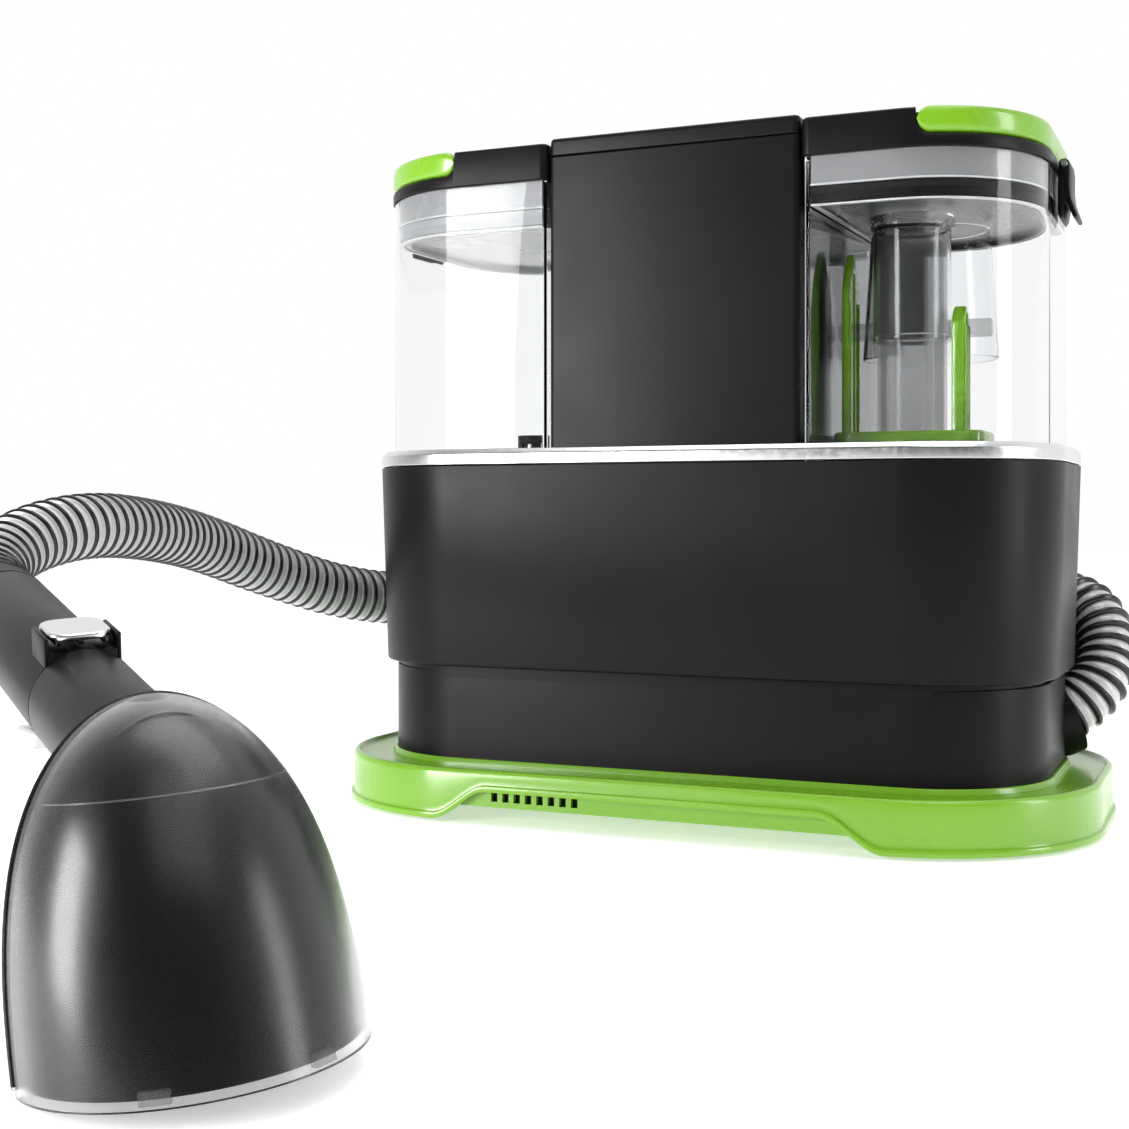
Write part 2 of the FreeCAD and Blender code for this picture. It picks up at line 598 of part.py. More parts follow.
def lid_pieces(side, name):
    grow = "-dims.lid_grow"
    sign = "" if side > 0 else "-"
    lid = tank_slab(grow, "dims.lid_low", "dims.lid_top", name + "_lid_shell")
    soften_rim(lid, SIZES["lid_top"], 2.0)
    hollow(lid, tank_inset(name, "2.4"), "dims.lid_low", "dims.lid_top - 2.6")
    set_side(lid, side)
    notch = bail_band("-2", "dims.bail_thick + 2.6", "dims.bail_low - dims.bail_clear", "dims.cap_top + 4",
                      name + "_notch")
    set_side(notch, side)
    reach = f"{sign}(dims.tank_near + dims.{name}_bail_x)"
    outer_part = box((f"{reach} {'+' if side > 0 else '-'} 70", "0", "dims.bail_low - dims.bail_clear"),
                     ("140", "240", "40"))
    pivot_room = rod((reach, "-dims.tank_deep - 5", "dims.bail_low + dims.bail_high / 2"),
                     "dims.bail_high / 2 + dims.bail_clear", "dims.tank_deep * 2 + 10", ALONG_Y)
    inside = tank_slab("dims.bail_thick + 0.6", "dims.lid_low", "dims.cap_top + 10", name + "_inside")
    set_side(inside, side)
    over_pivot = box((reach, "0", "dims.bail_low + dims.bail_high / 2"),
                     ("dims.bail_high + 2 * dims.bail_clear", "dims.tank_deep * 2 + 10", "20"))
    room = join([overlap([notch, outer_part]), cut(join([pivot_room, over_pivot]), [inside])])
    ledge = bail_band("-dims.lid_grow", "dims.bail_thick + 3", "dims.lid_low", "dims.bail_low - dims.bail_clear",
                      name + "_ledge")
    set_side(ledge, side)
    inner_wall = bail_band("dims.bail_thick + 0.6", "2.4", "dims.lid_low", "dims.lid_top - 1", name + "_inner")
    set_side(inner_wall, side)
    keep(name + "_lid", join([cut(lid, [room]), ledge, inner_wall, latch_lugs(side)]))

    plate = tank_slab("dims.plate_inset", "dims.plate_low", "dims.lid_low", name + "_plate_shell")
    hollow(plate, tank_inset(name, "dims.plate_inset + 2.2"), "dims.plate_low + 2", "dims.lid_low")
    groove = bail_band("dims.plate_inset - 1", "2", "dims.seal_low", "dims.seal_low + dims.seal_high",
                       name + "_groove")
    for item in (plate, groove):
        set_side(item, side)
    keep(name + "_lid_plate", cut(plate, [groove]))
    seal = bail_band("dims.tank_wall + 0.3", "dims.plate_inset + 1 - dims.tank_wall - 0.3",
                     "dims.seal_low", "dims.seal_low + dims.seal_high", name + "_seal_band")
    set_side(seal, side)
    keep(name + "_lid_seal", seal)

    band = bail_band("-dims.lid_grow", "dims.bail_thick", "dims.bail_low", "dims.bail_low + dims.bail_high",
                     name + "_band")
    soften_rim(band, SIZES["bail_low"] + SIZES["bail_high"], 1.5)
    set_side(band, side)
    keep_zone = join([box((f"{reach} {'+' if side > 0 else '-'} 70", "0", "dims.bail_low - 1"),
                          ("140", "240", "20")),
                      rod((reach, "-dims.tank_deep - 5", "dims.bail_low + dims.bail_high / 2"),
                          "dims.bail_high / 2", "dims.tank_deep * 2 + 10", ALONG_Y)])
    swing_room = box((reach, "0", "dims.bail_low - 1"),
                     ("14", f"2 * dims.{name}_bail_swing", "20"))
    keep(name + "_handle", cut(overlap([band, keep_zone]), [swing_room]))


def build_latch(side, name):
    """A clip that hangs on a pin under the lid's outer end, with its tooth under a rib of the tank."""
    sign = "" if side > 0 else "-"

    def out(distance):
        return f"{sign}(dims.tank_near + dims.tank_length + dims.latch_out + ({distance}))"

    half = "dims.latch_wide / 2"
    height = "dims.latch_pin_z - dims.latch_low"
    barrel = rod((out(0), f"-{half}", "dims.latch_pin_z"), "2.6", "dims.latch_wide", ALONG_Y)
    blade = box((out(0), "0", "dims.latch_low"), ("2.4", "dims.latch_wide", height))
    tooth = box((out(-1.65), "0", "dims.rib_low - 2.4"), ("1.7", "dims.latch_wide - 8", "1.8"))
    tip = box((out(1.5), "0", "dims.latch_low - 1"), ("3", "dims.latch_wide", "6"))
    hole = rod((out(0), f"-{half} - 1", "dims.latch_pin_z"), "1.55", "dims.latch_wide + 2", ALONG_Y)
    keep(name + "_latch", cut(join([barrel, blade, tooth, tip]), [hole]))
    keep(name + "_latch_pin", rod((out(0), f"-{half} - 2.8", "dims.latch_pin_z"), 1.5,
                                  "dims.latch_wide + 5.6", ALONG_Y))


def latch_lugs(side):
    """The two ears that carry a latch's pin."""
    sign = "" if side > 0 else "-"
    middle = f"{sign}(dims.tank_near + dims.tank_length + dims.latch_out / 2 - 0.6)"
    end = f"{sign}(dims.tank_near + dims.tank_length + dims.latch_out)"
    lugs = []
    for y in ("dims.latch_wide / 2 + 1.8", "-dims.latch_wide / 2 - 1.8"):
        lugs.append(box((middle, y, "dims.lid_low"), ("dims.latch_out + 3.6", "2.4", "5.4")))
    hole = rod((end, "-40", "dims.latch_pin_z"), 1.5, 80, ALONG_Y)
    return cut(join(lugs), [hole])


def build_clean_side():
    shell = build_tank(-1, "clean")
    rib = box(("-(dims.tank_near + dims.tank_length)", "0", "dims.rib_low"), ("3.2", "30", "1.8"))
    valve = ("-dims.valve_x", "0")
    hole = rod((*valve, "dims.tank_low - 1"), "dims.seat_radius", 6)
    keep("clean_tank", cut(join([shell, rib]), [hole]))
    seat = cut(rod((*valve, "dims.tank_low - 2.5"), "dims.seat_radius", 7.5),
               [rod((*valve, "dims.tank_low - 3"), 2.6, 12)])
    flange = cut(rod((*valve, "dims.tank_low + dims.tank_wall"), 12, 2),
                 [rod((*valve, "dims.tank_low"), "dims.seat_radius", 10)])
    cage = pipe((*valve, "dims.tank_low + 5"), "dims.seat_radius", "1.4", "14")
    windows = box((*valve, "dims.tank_low + 7"), ("6", "30", "9"))
    cover = rod((*valve, "dims.tank_low + 19"), "dims.seat_radius", 1.5)
    keep("clean_valve_body", join([seat, flange, cut(cage, [windows]), cover]))
    stem = rod((*valve, "dims.tank_low - 2"), 2.2, 14)
    disc = rod((*valve, "dims.tank_low + 5.3"), 5.6, 2)
    keep("clean_valve_plunger", join([stem, disc]))
    keep("clean_valve_spring", pipe((*valve, "dims.tank_low + 7.5"), "4.6", "1", "11"))
    lid_pieces(-1, "clean")
    build_latch(-1, "clean")


def build_dirty_side():
    shell = build_tank(1, "dirty")
    rib = box(("dims.tank_near + dims.tank_length", "0", "dims.rib_low"), ("3.2", "30", "1.8"))
    mouth = rod(("dims.pipe_x", "dims.pipe_y", "dims.tank_low - 1"), "dims.pipe_radius - dims.pipe_wall", 6)
    keep("dirty_tank", cut(join([shell, rib]), [mouth]))
    stand = pipe(("dims.pipe_x", "dims.pipe_y", "dims.tank_low + dims.tank_wall"), "dims.pipe_radius",
                 "dims.pipe_wall", "dims.pipe_top - dims.tank_low - dims.tank_wall")
    keep("standpipe", stand)
    duct_height = "dims.plate_low - dims.tank_low - dims.tank_wall - 1"
    outer = box(("dims.tank_near + 20", "66", "dims.tank_low + dims.tank_wall"), ("22", "20", duct_height))
    inner = box(("dims.tank_near + 20", "66", "dims.tank_low + dims.tank_wall - 1"), ("19", "17", "200"))
    keep("air_channel", cut(outer, [inner]))

    lid_pieces(1, "dirty")
    build_latch(1, "dirty")
    sleeve = pipe(("dims.pipe_x", "dims.pipe_y", "dims.sleeve_low"), "dims.sleeve_radius", "dims.sleeve_wall",
                  "dims.plate_low - dims.sleeve_low")
    pins = rod(("dims.pipe_x - 35.4", "dims.pipe_y", "dims.pin_z"), "dims.pin_radius", 73.4, ALONG_X)
    bore = rod(("dims.pipe_x", "dims.pipe_y", "dims.sleeve_low - 1"), "dims.sleeve_radius - dims.sleeve_wall", 80)
    keep("separator_sleeve", join([sleeve, cut(pins, [bore])]))
    cone = taper(("dims.pipe_x", "dims.cone_y", "dims.cone_low"), "dims.cone_radius", "dims.cone_radius - 4.5",
                 "dims.plate_low - dims.cone_low")
    cone_space = taper(("dims.pipe_x", "dims.cone_y", "dims.cone_low"), "dims.cone_radius - 1.4",
                       "dims.cone_radius - 5.9", "dims.plate_low - dims.cone_low")
    sleeve_room = rod(("dims.pipe_x", "dims.pipe_y", "dims.cone_low - 1"), "dims.sleeve_radius + 0.3", 80)
    keep("splash_cone", cut(cone, [cone_space, sleeve_room]))
    build_float()


def build_float():
    foot = box(("dims.pipe_x + 0.7", "dims.pipe_y + 1", "dims.float_low"), ("71.6", "44", "6"))
    soft_foot = round_edges(foot, 5.0, lambda p: abs(p.z - SIZES["float_low"] - 3) < 0.1)
    left = box(("dims.pipe_x - 29.5", "dims.pipe_y - 1", "dims.float_low + 5"), ("4.4", "26", "88"))
    right = box(("dims.pipe_x + 24", "dims.pipe_y - 4", "dims.float_low + 5"), ("7", "14", "60"))
    pipe_room = rod(("dims.pipe_x", "dims.pipe_y", "dims.float_low - 1"), "dims.sleeve_radius + 0.6", 100)
    slots = []
    for x in ("dims.pipe_x - 29.5", "dims.pipe_x + 24"):
        low = "dims.pin_z - dims.pin_radius - 10.6"
        slots.append(box((x, "dims.pipe_y", low), ("20", "dims.pin_radius * 2 + 1", "dims.pin_radius * 2 + 11.2")))
    keep("float", cut(join([soft_foot, left, right]), [pipe_room] + slots))


# ------------------------------------------------------------------ hose port, gland and hooks

def outside_skirt():
    """The space outside the lower skirt, round the hose port."""
    space = box(("170", "60", "dims.base_top + 1"), ("120", "120", "80"))
    return cut(space, [slab(SKIRT, "dims.base_top", "dims.skirt_top + 40", "skirt_space")])


def build_ports():
    mouth, axis = port_mouth()
    inner_end = mouth - axis * 15
    foot = Vector(SIZES["pipe_x"], SIZES["pipe_y"], inner_end.z)
    run = foot - inner_end

    def duct(radius, grow):
        upright = rod(("dims.pipe_x", "dims.pipe_y", f"{inner_end.z} - {radius}"), radius,
                      f"dims.deck_high - {inner_end.z} + {radius} + {grow}")
        level = doc.addObject("Part::Cylinder", "level")
        level.Radius = radius - 0.3
        level.Height = run.Length
        level.Placement = Placement(inner_end, Rotation(FLOOR_AXIS, run))
        elbow = doc.addObject("Part::Sphere", "elbow")
        elbow.Radius = radius
        elbow.Placement = Placement(inner_end, Rotation())
        return join([upright, level, elbow])

    opened = cut(cut(duct(14.5, 0), [duct(12.5, 5)]), [port_rod(12.1, -15, 30)])
    keep("hose_duct", cut(opened, [port_rod(18.6, -13, 60)]))
    flange = overlap([port_rod(21.5, -12, 15.5), outside_skirt()])
    socket = join([flange, port_rod(18.2, -11, 14.5)])
    seat = port_rod("dims.hose_radius + 0.2", -SIZES["port_inside"], 40)
    keep("hose_port", cut(cut(socket, [port_rod(12.4, -30, 60)]), [seat]))

    flange = rod(("dims.gland_x", "dims.skirt_deep", "dims.gland_z"), 10, 3, ALONG_Y)
    nose = taper(("dims.gland_x", "dims.skirt_deep + 3", "dims.gland_z"), 8, 5.5, 18, ALONG_Y)
    eye = rod(("dims.gland_x", "dims.skirt_deep - 2", "dims.gland_z"), "dims.gland_bore", 40, ALONG_Y)
    keep("cord_gland", cut(join([flange, nose]), [eye]))

    hooks = []
    for x in ("-dims.hook_x", "dims.hook_x"):
        plate = box((x, "dims.house_deep + 2.8", "76"), ("30", "3", "30"))
        arm = box((x, "dims.house_deep + 29", "76"), ("18", "54", "6"))
        lip = box((x, "dims.house_deep + 54.5", "76"), ("18", "4", "26"))
        hooks.append(join([plate, arm, lip]))
    keep("hose_hooks", group(hooks))


# ------------------------------------------------------------------ hand tool

TOOL_TURN = (Rotation(FLOOR_AXIS, TOOL_YAW) * Rotation(Vector(1, 0, 0), -TOOL_PITCH)
             * Rotation(Vector(0, 1, 0), -TOOL_ROLL))
TOOL_PLACE = Placement(TOOL_AT, TOOL_TURN)
TUBE_TURN = Rotation(Vector(1, 0, 0), SIZES["tube_rise"] - 90) * Rotation(FLOOR_AXIS, 180)
TUBE_PLACE = TOOL_PLACE.multiply(Placement(Vector(0, SIZES["seam_y"], SIZES["seam_z"]), TUBE_TURN))


def tool_feature(node, shape, frame):
    """A hand-tool piece, built in its own frame and put where the tool stands."""
    item = doc.addObject("Part::Feature", node)
    item.Shape = shape
    item.Placement = frame
    return keep(node, item)


def dome_section(level, inward, back_inward):
    """One outline of the nozzle: half an ellipse in front and a flatter one behind."""
    share = math.sqrt(1 - max(level, 0.0) ** SIZES["dome_power"])
    half = SIZES["mouth_half"] * share - inward
    front = SIZES["mouth_front"] * share - inward
    back = SIZES["mouth_back"] * share - back_inward * 0.5
    middle = SIZES["nozzle_lean"] * level
    height = SIZES["nozzle_high"] * level
    points = []
    for step in range(24):
        angle = 2 * math.pi * step / 24
        depth = -front if math.sin(angle) > 0 else back
        points.append(Vector(half * math.cos(angle), middle + depth * abs(math.sin(angle)), height))
    curve = Part.BSplineCurve()
    curve.interpolate(points, True)
    return Part.Wire(curve.toShape())


def dome(inward, back_inward, low=0.0, top=0.985):
    """The nozzle's domed form, taken in by a distance."""
    levels = [low + (top - low) * share for share in (0, 0.3, 0.55, 0.75, 0.9, 1.0)]
    return Part.makeLoft([dome_section(level, inward, back_inward) for level in levels], True)


def spray_shapes():
    """The spray tip behind the suction mouth, and the plain bar that its hole is cut with."""
    foot = Vector(0, 17.6, 24)
    tip = Part.makeCone(3.4, 1.8, 9, foot, Vector(0, 0, -1))
    shank = Part.makeCylinder(4.2, 6.5, foot - FLOOR_AXIS * 0.5)
    jet = Part.makeCylinder(0.7, 20, foot - FLOOR_AXIS * 12)
    return tip.fuse(shank).cut(jet), Part.makeCylinder(4.2, 40, foot - FLOOR_AXIS * 10)


def build_tool():
    lean = SIZES["nozzle_lean"] / SIZES["nozzle_high"]
    front_side = Part.makeBox(160, 120, 160, Vector(-80, -120.4, -10))
    front_side.rotate(Vector(), Vector(1, 0, 0), -math.degrees(math.atan(lean)))
    outer = dome(0, 0)
    wall = SIZES["cover_wall"]
    cover = outer.cut(dome(wall, 0, -0.01, 0.96)).common(front_side)
    tool_feature("nozzle_cover", cover, TOOL_PLACE)

    core = dome(wall + 2.6, 0.0, 0.085, 0.955)
    back_side = Part.makeBox(160, 120, 160, Vector(-80, 0.0, 1))
    back_side.rotate(Vector(), Vector(1, 0, 0), -math.degrees(math.atan(lean)))
    back_shell = outer.common(back_side)
    tube = SIZES["tube_radius"]
    bore = tube - SIZES["tube_wall"]
    along = Vector(0, math.cos(math.radians(SIZES["tube_rise"])), math.sin(math.radians(SIZES["tube_rise"])))
    seam = Vector(0, SIZES["seam_y"], SIZES["seam_z"])
    neck = Part.makeCylinder(tube, 78, seam - along * 78, along)
    neck_bore = Part.makeCylinder(bore, 90, seam - along * 72, along)
    inner = dome(wall + 5.0, 4.0, 0.08, 0.9)
    body = core.fuse([back_shell, neck]).cut(inner).cut(neck_bore)
    spigot = Part.makeCylinder(bore - 0.6, 34, seam - along * 6, along)
    shoulder = Part.makeCylinder(bore + 0.5, 4, seam - along * 6, along)
    spigot = spigot.fuse(shoulder).cut(Part.makeCylinder(bore - 3, 60, seam - along * 20, along))
    body = body.fuse(spigot)
    spray, socket = spray_shapes()
    bracket = Part.makeBox(13, 10, 6, Vector(-6.5, 11, 24))
    body = body.fuse(bracket.cut(dome(wall, 0, -0.01, 0.96))).cut(socket)
    tool_feature("spray_tip", spray, TOOL_PLACE)
    above_cover = outer.cut(dome(wall + 0.3, 0, -0.01, 0.96)).common(front_side)
    body = body.cut(above_cover)
    tool_feature("nozzle_body", body, TOOL_PLACE)


def build_handle():
    tube = SIZES["tube_radius"]
    bore = tube - SIZES["tube_wall"]
    long = SIZES["handle_length"]
    barrel = Part.makeCylinder(tube, long, Vector(0, 0, 0.2))
    passage = Part.makeCylinder(bore, long + 2, Vector(0, 0, -1))
    housing = Part.makeBox(24, 9.2, 20, Vector(-12, 13.5, 0.2))
    saddle = Part.makeBox(21.6, 20, 25.4, Vector(-10.8, 16.6, -1))
    cheeks = Part.makeBox(14, 9, 11, Vector(-7, -23.5, 61))
    slot = Part.makeBox(8.8, 16, 28.4, Vector(-4.4, -31, 42))
    pivot = Part.makeCylinder(1.5, 14.8, Vector(-7.4, -20, 66.5), Vector(1, 0, 0))
    solid = barrel.fuse([housing, cheeks]).cut([passage, saddle, slot, pivot])
    tool_feature("tool_handle", solid, TUBE_PLACE)
    tool_feature("trigger_pin", pivot, TUBE_PLACE)

    lever = Part.makeBox(8, 10, 21, Vector(-4, -27, 43))
    finger_pad = Part.makeBox(20, 7, 17.4, Vector(-10, -31, 43))
    arm = Part.makeBox(8, 5.8, 7, Vector(-4, -22.9, 60))
    boss = Part.makeCylinder(2.9, 8, Vector(-4, -20, 66.5), Vector(1, 0, 0))
    eye = Part.makeCylinder(1.55, 20, Vector(-10, -20, 66.5), Vector(1, 0, 0))
    trigger = lever.fuse([finger_pad, arm, boss]).cut(eye)
    tool_feature("trigger", trigger.removeSplitter(), TUBE_PLACE)

    cap = Part.makeBox(21, 2.2, 23.4, Vector(-10.5, 21, 0.5))
    cap = cap.makeFillet(4.5, [edge for edge in cap.Edges if abs(edge.tangentAt(0).y) > 0.9])
    stem = Part.makeBox(15.6, 2.4, 18, Vector(-7.8, 18.8, 2))
    tool_feature("release_button", cap.fuse(stem), TUBE_PLACE)

    collar = Part.makeCylinder(tube - 0.6, SIZES["collar_end"] - long - 0.4, Vector(0, 0, long + 0.4))
    collar_bore = Part.makeCylinder(SIZES["hose_radius"] - 3, 30, Vector(0, 0, long - 5))
    tool_feature("hose_collar", collar.cut(collar_bore), TUBE_PLACE)


# ------------------------------------------------------------------ hose

def tube_point(along):
    """A point on the hand tool's tube axis."""
    return TUBE_PLACE.multVec(Vector(0, 0, along))


def smooth_route(points):
    """Straight runs joined by tangent arcs, each arc as large as its two runs allow."""
    edges = []
    here = points[0]
    for before, corner, after in zip(points, points[1:], points[2:]):
        back = (before - corner).normalize()
        ahead = (after - corner).normalize()
        turn = math.pi - back.getAngle(ahead)
        shorter = min((before - corner).Length, (after - corner).Length)
        cutoff = 0.45 * shorter
        radius = cutoff / math.tan(turn / 2)
        print(f"bend at {corner.x:.0f}, {corner.y:.0f}, {corner.z:.0f}: radius {radius:.0f}, "
              f"turn {math.degrees(turn):.0f}")
        start = corner + back * cutoff
        end = corner + ahead * cutoff
        inward = (back + ahead).normalize()
        middle = corner + inward * (math.hypot(radius, cutoff) - radius)
        edges.append(Part.LineSegment(here, start).toShape())
        edges.append(Part.Arc(start, middle, end).toShape())
        here = end
    edges.append(Part.LineSegment(here, points[-1]).toShape())
    return Part.Wire(edges)


def build_hose():
    start = tube_point(SIZES["collar_end"])
    mouth, axis = port_mouth()
    end = mouth - axis * SIZES["port_inside"]
    points = [start] + [Vector(*point) for point in HOSE_ROUTE] + [end]
    path = smooth_route(points)
    circle = Part.Circle(start, (points[1] - start).normalize(), SIZES["hose_radius"])
    solid = path.makePipeShell([Part.Wire(circle.toShape())], True, True)
    expected = math.pi * SIZES["hose_radius"] ** 2 * path.Length
    print(f"hose: length {path.Length:.0f}, volume {solid.Volume / expected:.3f} of section times length")
    item = doc.addObject("Part::Feature", "hose")
    item.Shape = solid
    keep("hose", item)


def build():
    build_base()
    build_housing()
    build_column()
    build_motor()
    build_pump()
    build_clean_side()
    build_dirty_side()
    build_ports()
    build_tool()
    build_handle()
    build_hose()


def write_parts():
    """Check every object and every sub-part, then write one file for each sub-part."""
    doc.recompute()
    failed = [item.Label for item in doc.Objects
              if any(state in item.State for state in ("Invalid", "Error"))]
    for node, item in parts.items():
        if item.Shape.isNull() or not item.Shape.isValid() or not item.Shape.Solids:
            failed.append(node)
    if failed:
        raise RuntimeError(f"failed: {sorted(set(failed))}")
    os.makedirs("parts", exist_ok=True)
    for node, item in parts.items():
        item.Shape.exportStep(f"parts/{node}.step")
    print(f"{len(parts)} sub-parts written")


build()
write_parts()
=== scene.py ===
import bmesh
import bpy
import math
from mathutils import Matrix, Vector


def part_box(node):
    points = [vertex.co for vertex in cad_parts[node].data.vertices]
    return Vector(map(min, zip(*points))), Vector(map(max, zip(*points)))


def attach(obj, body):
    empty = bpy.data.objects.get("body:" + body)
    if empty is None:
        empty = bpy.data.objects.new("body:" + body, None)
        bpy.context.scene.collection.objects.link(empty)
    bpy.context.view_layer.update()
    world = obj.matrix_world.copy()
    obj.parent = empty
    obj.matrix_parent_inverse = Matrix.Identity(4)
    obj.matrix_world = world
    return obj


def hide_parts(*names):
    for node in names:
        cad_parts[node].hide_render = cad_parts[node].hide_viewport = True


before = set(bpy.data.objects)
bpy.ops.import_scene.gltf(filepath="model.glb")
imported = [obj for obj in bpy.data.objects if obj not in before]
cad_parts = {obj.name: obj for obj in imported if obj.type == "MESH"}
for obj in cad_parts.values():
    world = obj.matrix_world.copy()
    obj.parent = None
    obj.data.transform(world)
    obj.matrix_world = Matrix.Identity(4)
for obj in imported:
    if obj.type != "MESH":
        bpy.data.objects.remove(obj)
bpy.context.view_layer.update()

# The looks of a two-tank spot extractor with its hose and hand tool.
# Lengths below are millimetres in the frame's own axes, and become metres where a mesh is made.

MM = 0.001


def corner(node, which):
    """The lowest (0) or highest (1) corner of a CAD node, in millimetres."""
    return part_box(node)[which] / MM


BASE_LOW = corner("base_cover", 0).z
BASE_TOP = corner("base_cover", 1).z
SKIRT_TOP = corner("lower_skirt", 1).z
DECK = corner("tank_deck", 1).z
TRIM_LOW = corner("trim_ring", 0).z
TRIM_TOP = corner("trim_ring", 1).z
COLUMN_LEFT = -corner("column_cap", 0).x
COLUMN_RIGHT = corner("column_cap", 1).x
COLUMN_DEEP = corner("column_cap", 1).y
CAP_LOW = corner("column_front", 1).z
CAP_TOP = corner("column_cap", 1).z
SIDE_AT = 67.0  # where each side's own x begins, outwards from the machine's middle
TANK_DEEP = corner("dirty_tank", 1).y
TANK_LOW = corner("dirty_tank", 0).z
TANK_TOP = corner("dirty_tank", 1).z
LID_LOW = corner("dirty_lid", 0).z
LID_TOP = corner("dirty_lid", 1).z
PLATE_LOW = corner("dirty_lid_plate", 0).z
BAIL_LOW = corner("dirty_handle", 0).z
BAIL_TOP = corner("dirty_handle", 1).z
PIPE = (corner("standpipe", 0) + corner("standpipe", 1)) / 2
PIPE_RADIUS = (corner("standpipe", 1).x - corner("standpipe", 0).x) / 2
SLEEVE_LOW = corner("separator_sleeve", 0).z
CONE_X = corner("splash_cone", 0).x + 34.0
CONE_Y = 12.0
CONE_LOW = corner("splash_cone", 0).z
FLOAT_LOW = corner("float", 0).z
FLOAT_HIGH = corner("float", 1).z
BUTTON = (corner("power_button", 0) + corner("power_button", 1)) / 2

# outlines: near side, far side, half depth, near corner, far corner
BASE = (195.0, 195.0, 116.0, 90.5, 90.5)
SKIRT = (171.8, 171.8, 86.4, 59.1, 59.1)
HOUSE = (176.2, 176.2, 93.2, 64.1, 64.1)
COLUMN = (COLUMN_LEFT, COLUMN_RIGHT, COLUMN_DEEP, 3.0, 3.0)
TANKS = {
    "clean": (SIDE_AT + corner("clean_tank", 1).x, 105.0, TANK_DEEP, 3.0, 62.0),
    "dirty": (SIDE_AT - corner("dirty_tank", 0).x, 105.0, TANK_DEEP, 3.0, 62.0),
}

# the hand tool's frame, and its tube's frame
TOOL_AT = Vector((-2.4, -454.9, 3.3))
TOOL_TURN = (Matrix.Rotation(math.radians(52.3), 3, "Z") @ Matrix.Rotation(math.radians(-5.4), 3, "X")
             @ Matrix.Rotation(math.radians(-3.85), 3, "Y"))
SEAM = Vector((0.0, 99.6, 95.8))
TUBE_RISE = math.radians(14.9)
TUBE_RADIUS = 18.2
HANDLE_LENGTH = 137.0
COLLAR_END = 150.0

# hose
HOSE_RADIUS = 16.0
HOSE_PITCH = 7.4
ROWS_PER_TURN = 14
RIDGE_ROWS = 5  # of the rows per turn, those on the dark ridge
RIDGE_SHARE = RIDGE_ROWS / ROWS_PER_TURN
HOSE_AROUND = 42
HOSE_ROUTE = [
    (-0.2340, -0.2885, 0.1180),
    (-0.2510, -0.2670, 0.1290),
    (-0.2550, -0.2380, 0.1405),
    (-0.2530, -0.2000, 0.1465),
    (-0.2590, -0.1500, 0.1440),
    (-0.2660, -0.0950, 0.1365),
    (-0.2600, -0.0400, 0.1200),
    (-0.2380, 0.0150, 0.1025),
    (-0.2080, 0.0680, 0.0975),
    (-0.1650, 0.1080, 0.0985),
    (-0.1100, 0.1270, 0.0995),
    (-0.0500, 0.1305, 0.0980),
    (0.0200, 0.1290, 0.0975),
    (0.0800, 0.1280, 0.0995),
    (0.1250, 0.1260, 0.1015),
    (0.1580, 0.1130, 0.1055),
    (0.1800, 0.0930, 0.1000),
    (0.1890, 0.0760, 0.0790),
    (0.1825, 0.0565, 0.0555),
]
PORT_CORNER = Vector((112.7, 27.3, 48.0))
PORT_REACH = 59.1
PORT_TURN = math.radians(22.0)
PORT_RISE = math.radians(24.0)
PORT_INSIDE = 6.0


# ------------------------------------------------------------------ places

def tool_point(x, y, z):
    """A point given in the hand tool's frame: across, back along the handle, up."""
    return TOOL_AT + TOOL_TURN @ Vector((x, y, z))


def tube_point(along, across, up):
    """A point given along the hand tool's tube from the seam, across it and above its axis."""
    back = math.cos(TUBE_RISE) * along - math.sin(TUBE_RISE) * up
    high = math.sin(TUBE_RISE) * along + math.cos(TUBE_RISE) * up
    return TOOL_AT + TOOL_TURN @ (SEAM + Vector((across, back, high)))


def side_point(side, x, y, z):
    """A point given from the column outwards, on the right (1) or the left (-1)."""
    return Vector((side * (SIDE_AT + x), side * y, z))


def port_point(out):
    """A point on the hose port's axis, from where it leaves the skirt."""
    level = Vector((math.cos(PORT_TURN), math.sin(PORT_TURN), 0.0))
    axis = level * math.cos(PORT_RISE) + Vector((0.0, 0.0, math.sin(PORT_RISE)))
    return PORT_CORNER + level * PORT_REACH + axis * out


# ------------------------------------------------------------------ stage: camera, lights, floor

def build_camera():
    """The view: level, turned to the machine's front and left."""
    data = bpy.data.cameras.new("camera")
    camera = bpy.data.objects.new("camera", data)
    bpy.context.scene.collection.objects.link(camera)
    camera.location = (0.26599, -0.8196, 0.15161)
    camera.rotation_euler = (math.radians(90.0), 0.0, math.radians(23.53))
    data.sensor_width = 36.0
    data.lens = 51.52
    data.shift_y = -0.0454
    data.clip_start = 0.02
    bpy.context.scene.camera = camera


def area_light(name, place, aim, size, power):
    """A rectangle of light, unseen by the camera; place, aim and size in metres, power in watts."""
    data = bpy.data.lights.new(name, "AREA")
    data.shape = "RECTANGLE"
    data.size, data.size_y = size
    data.energy = power
    light = bpy.data.objects.new(name, data)
    bpy.context.scene.collection.objects.link(light)
    light.visible_camera = False
    light.location = place
    light.rotation_euler = (Vector(aim) - Vector(place)).to_track_quat("-Z", "Y").to_euler()


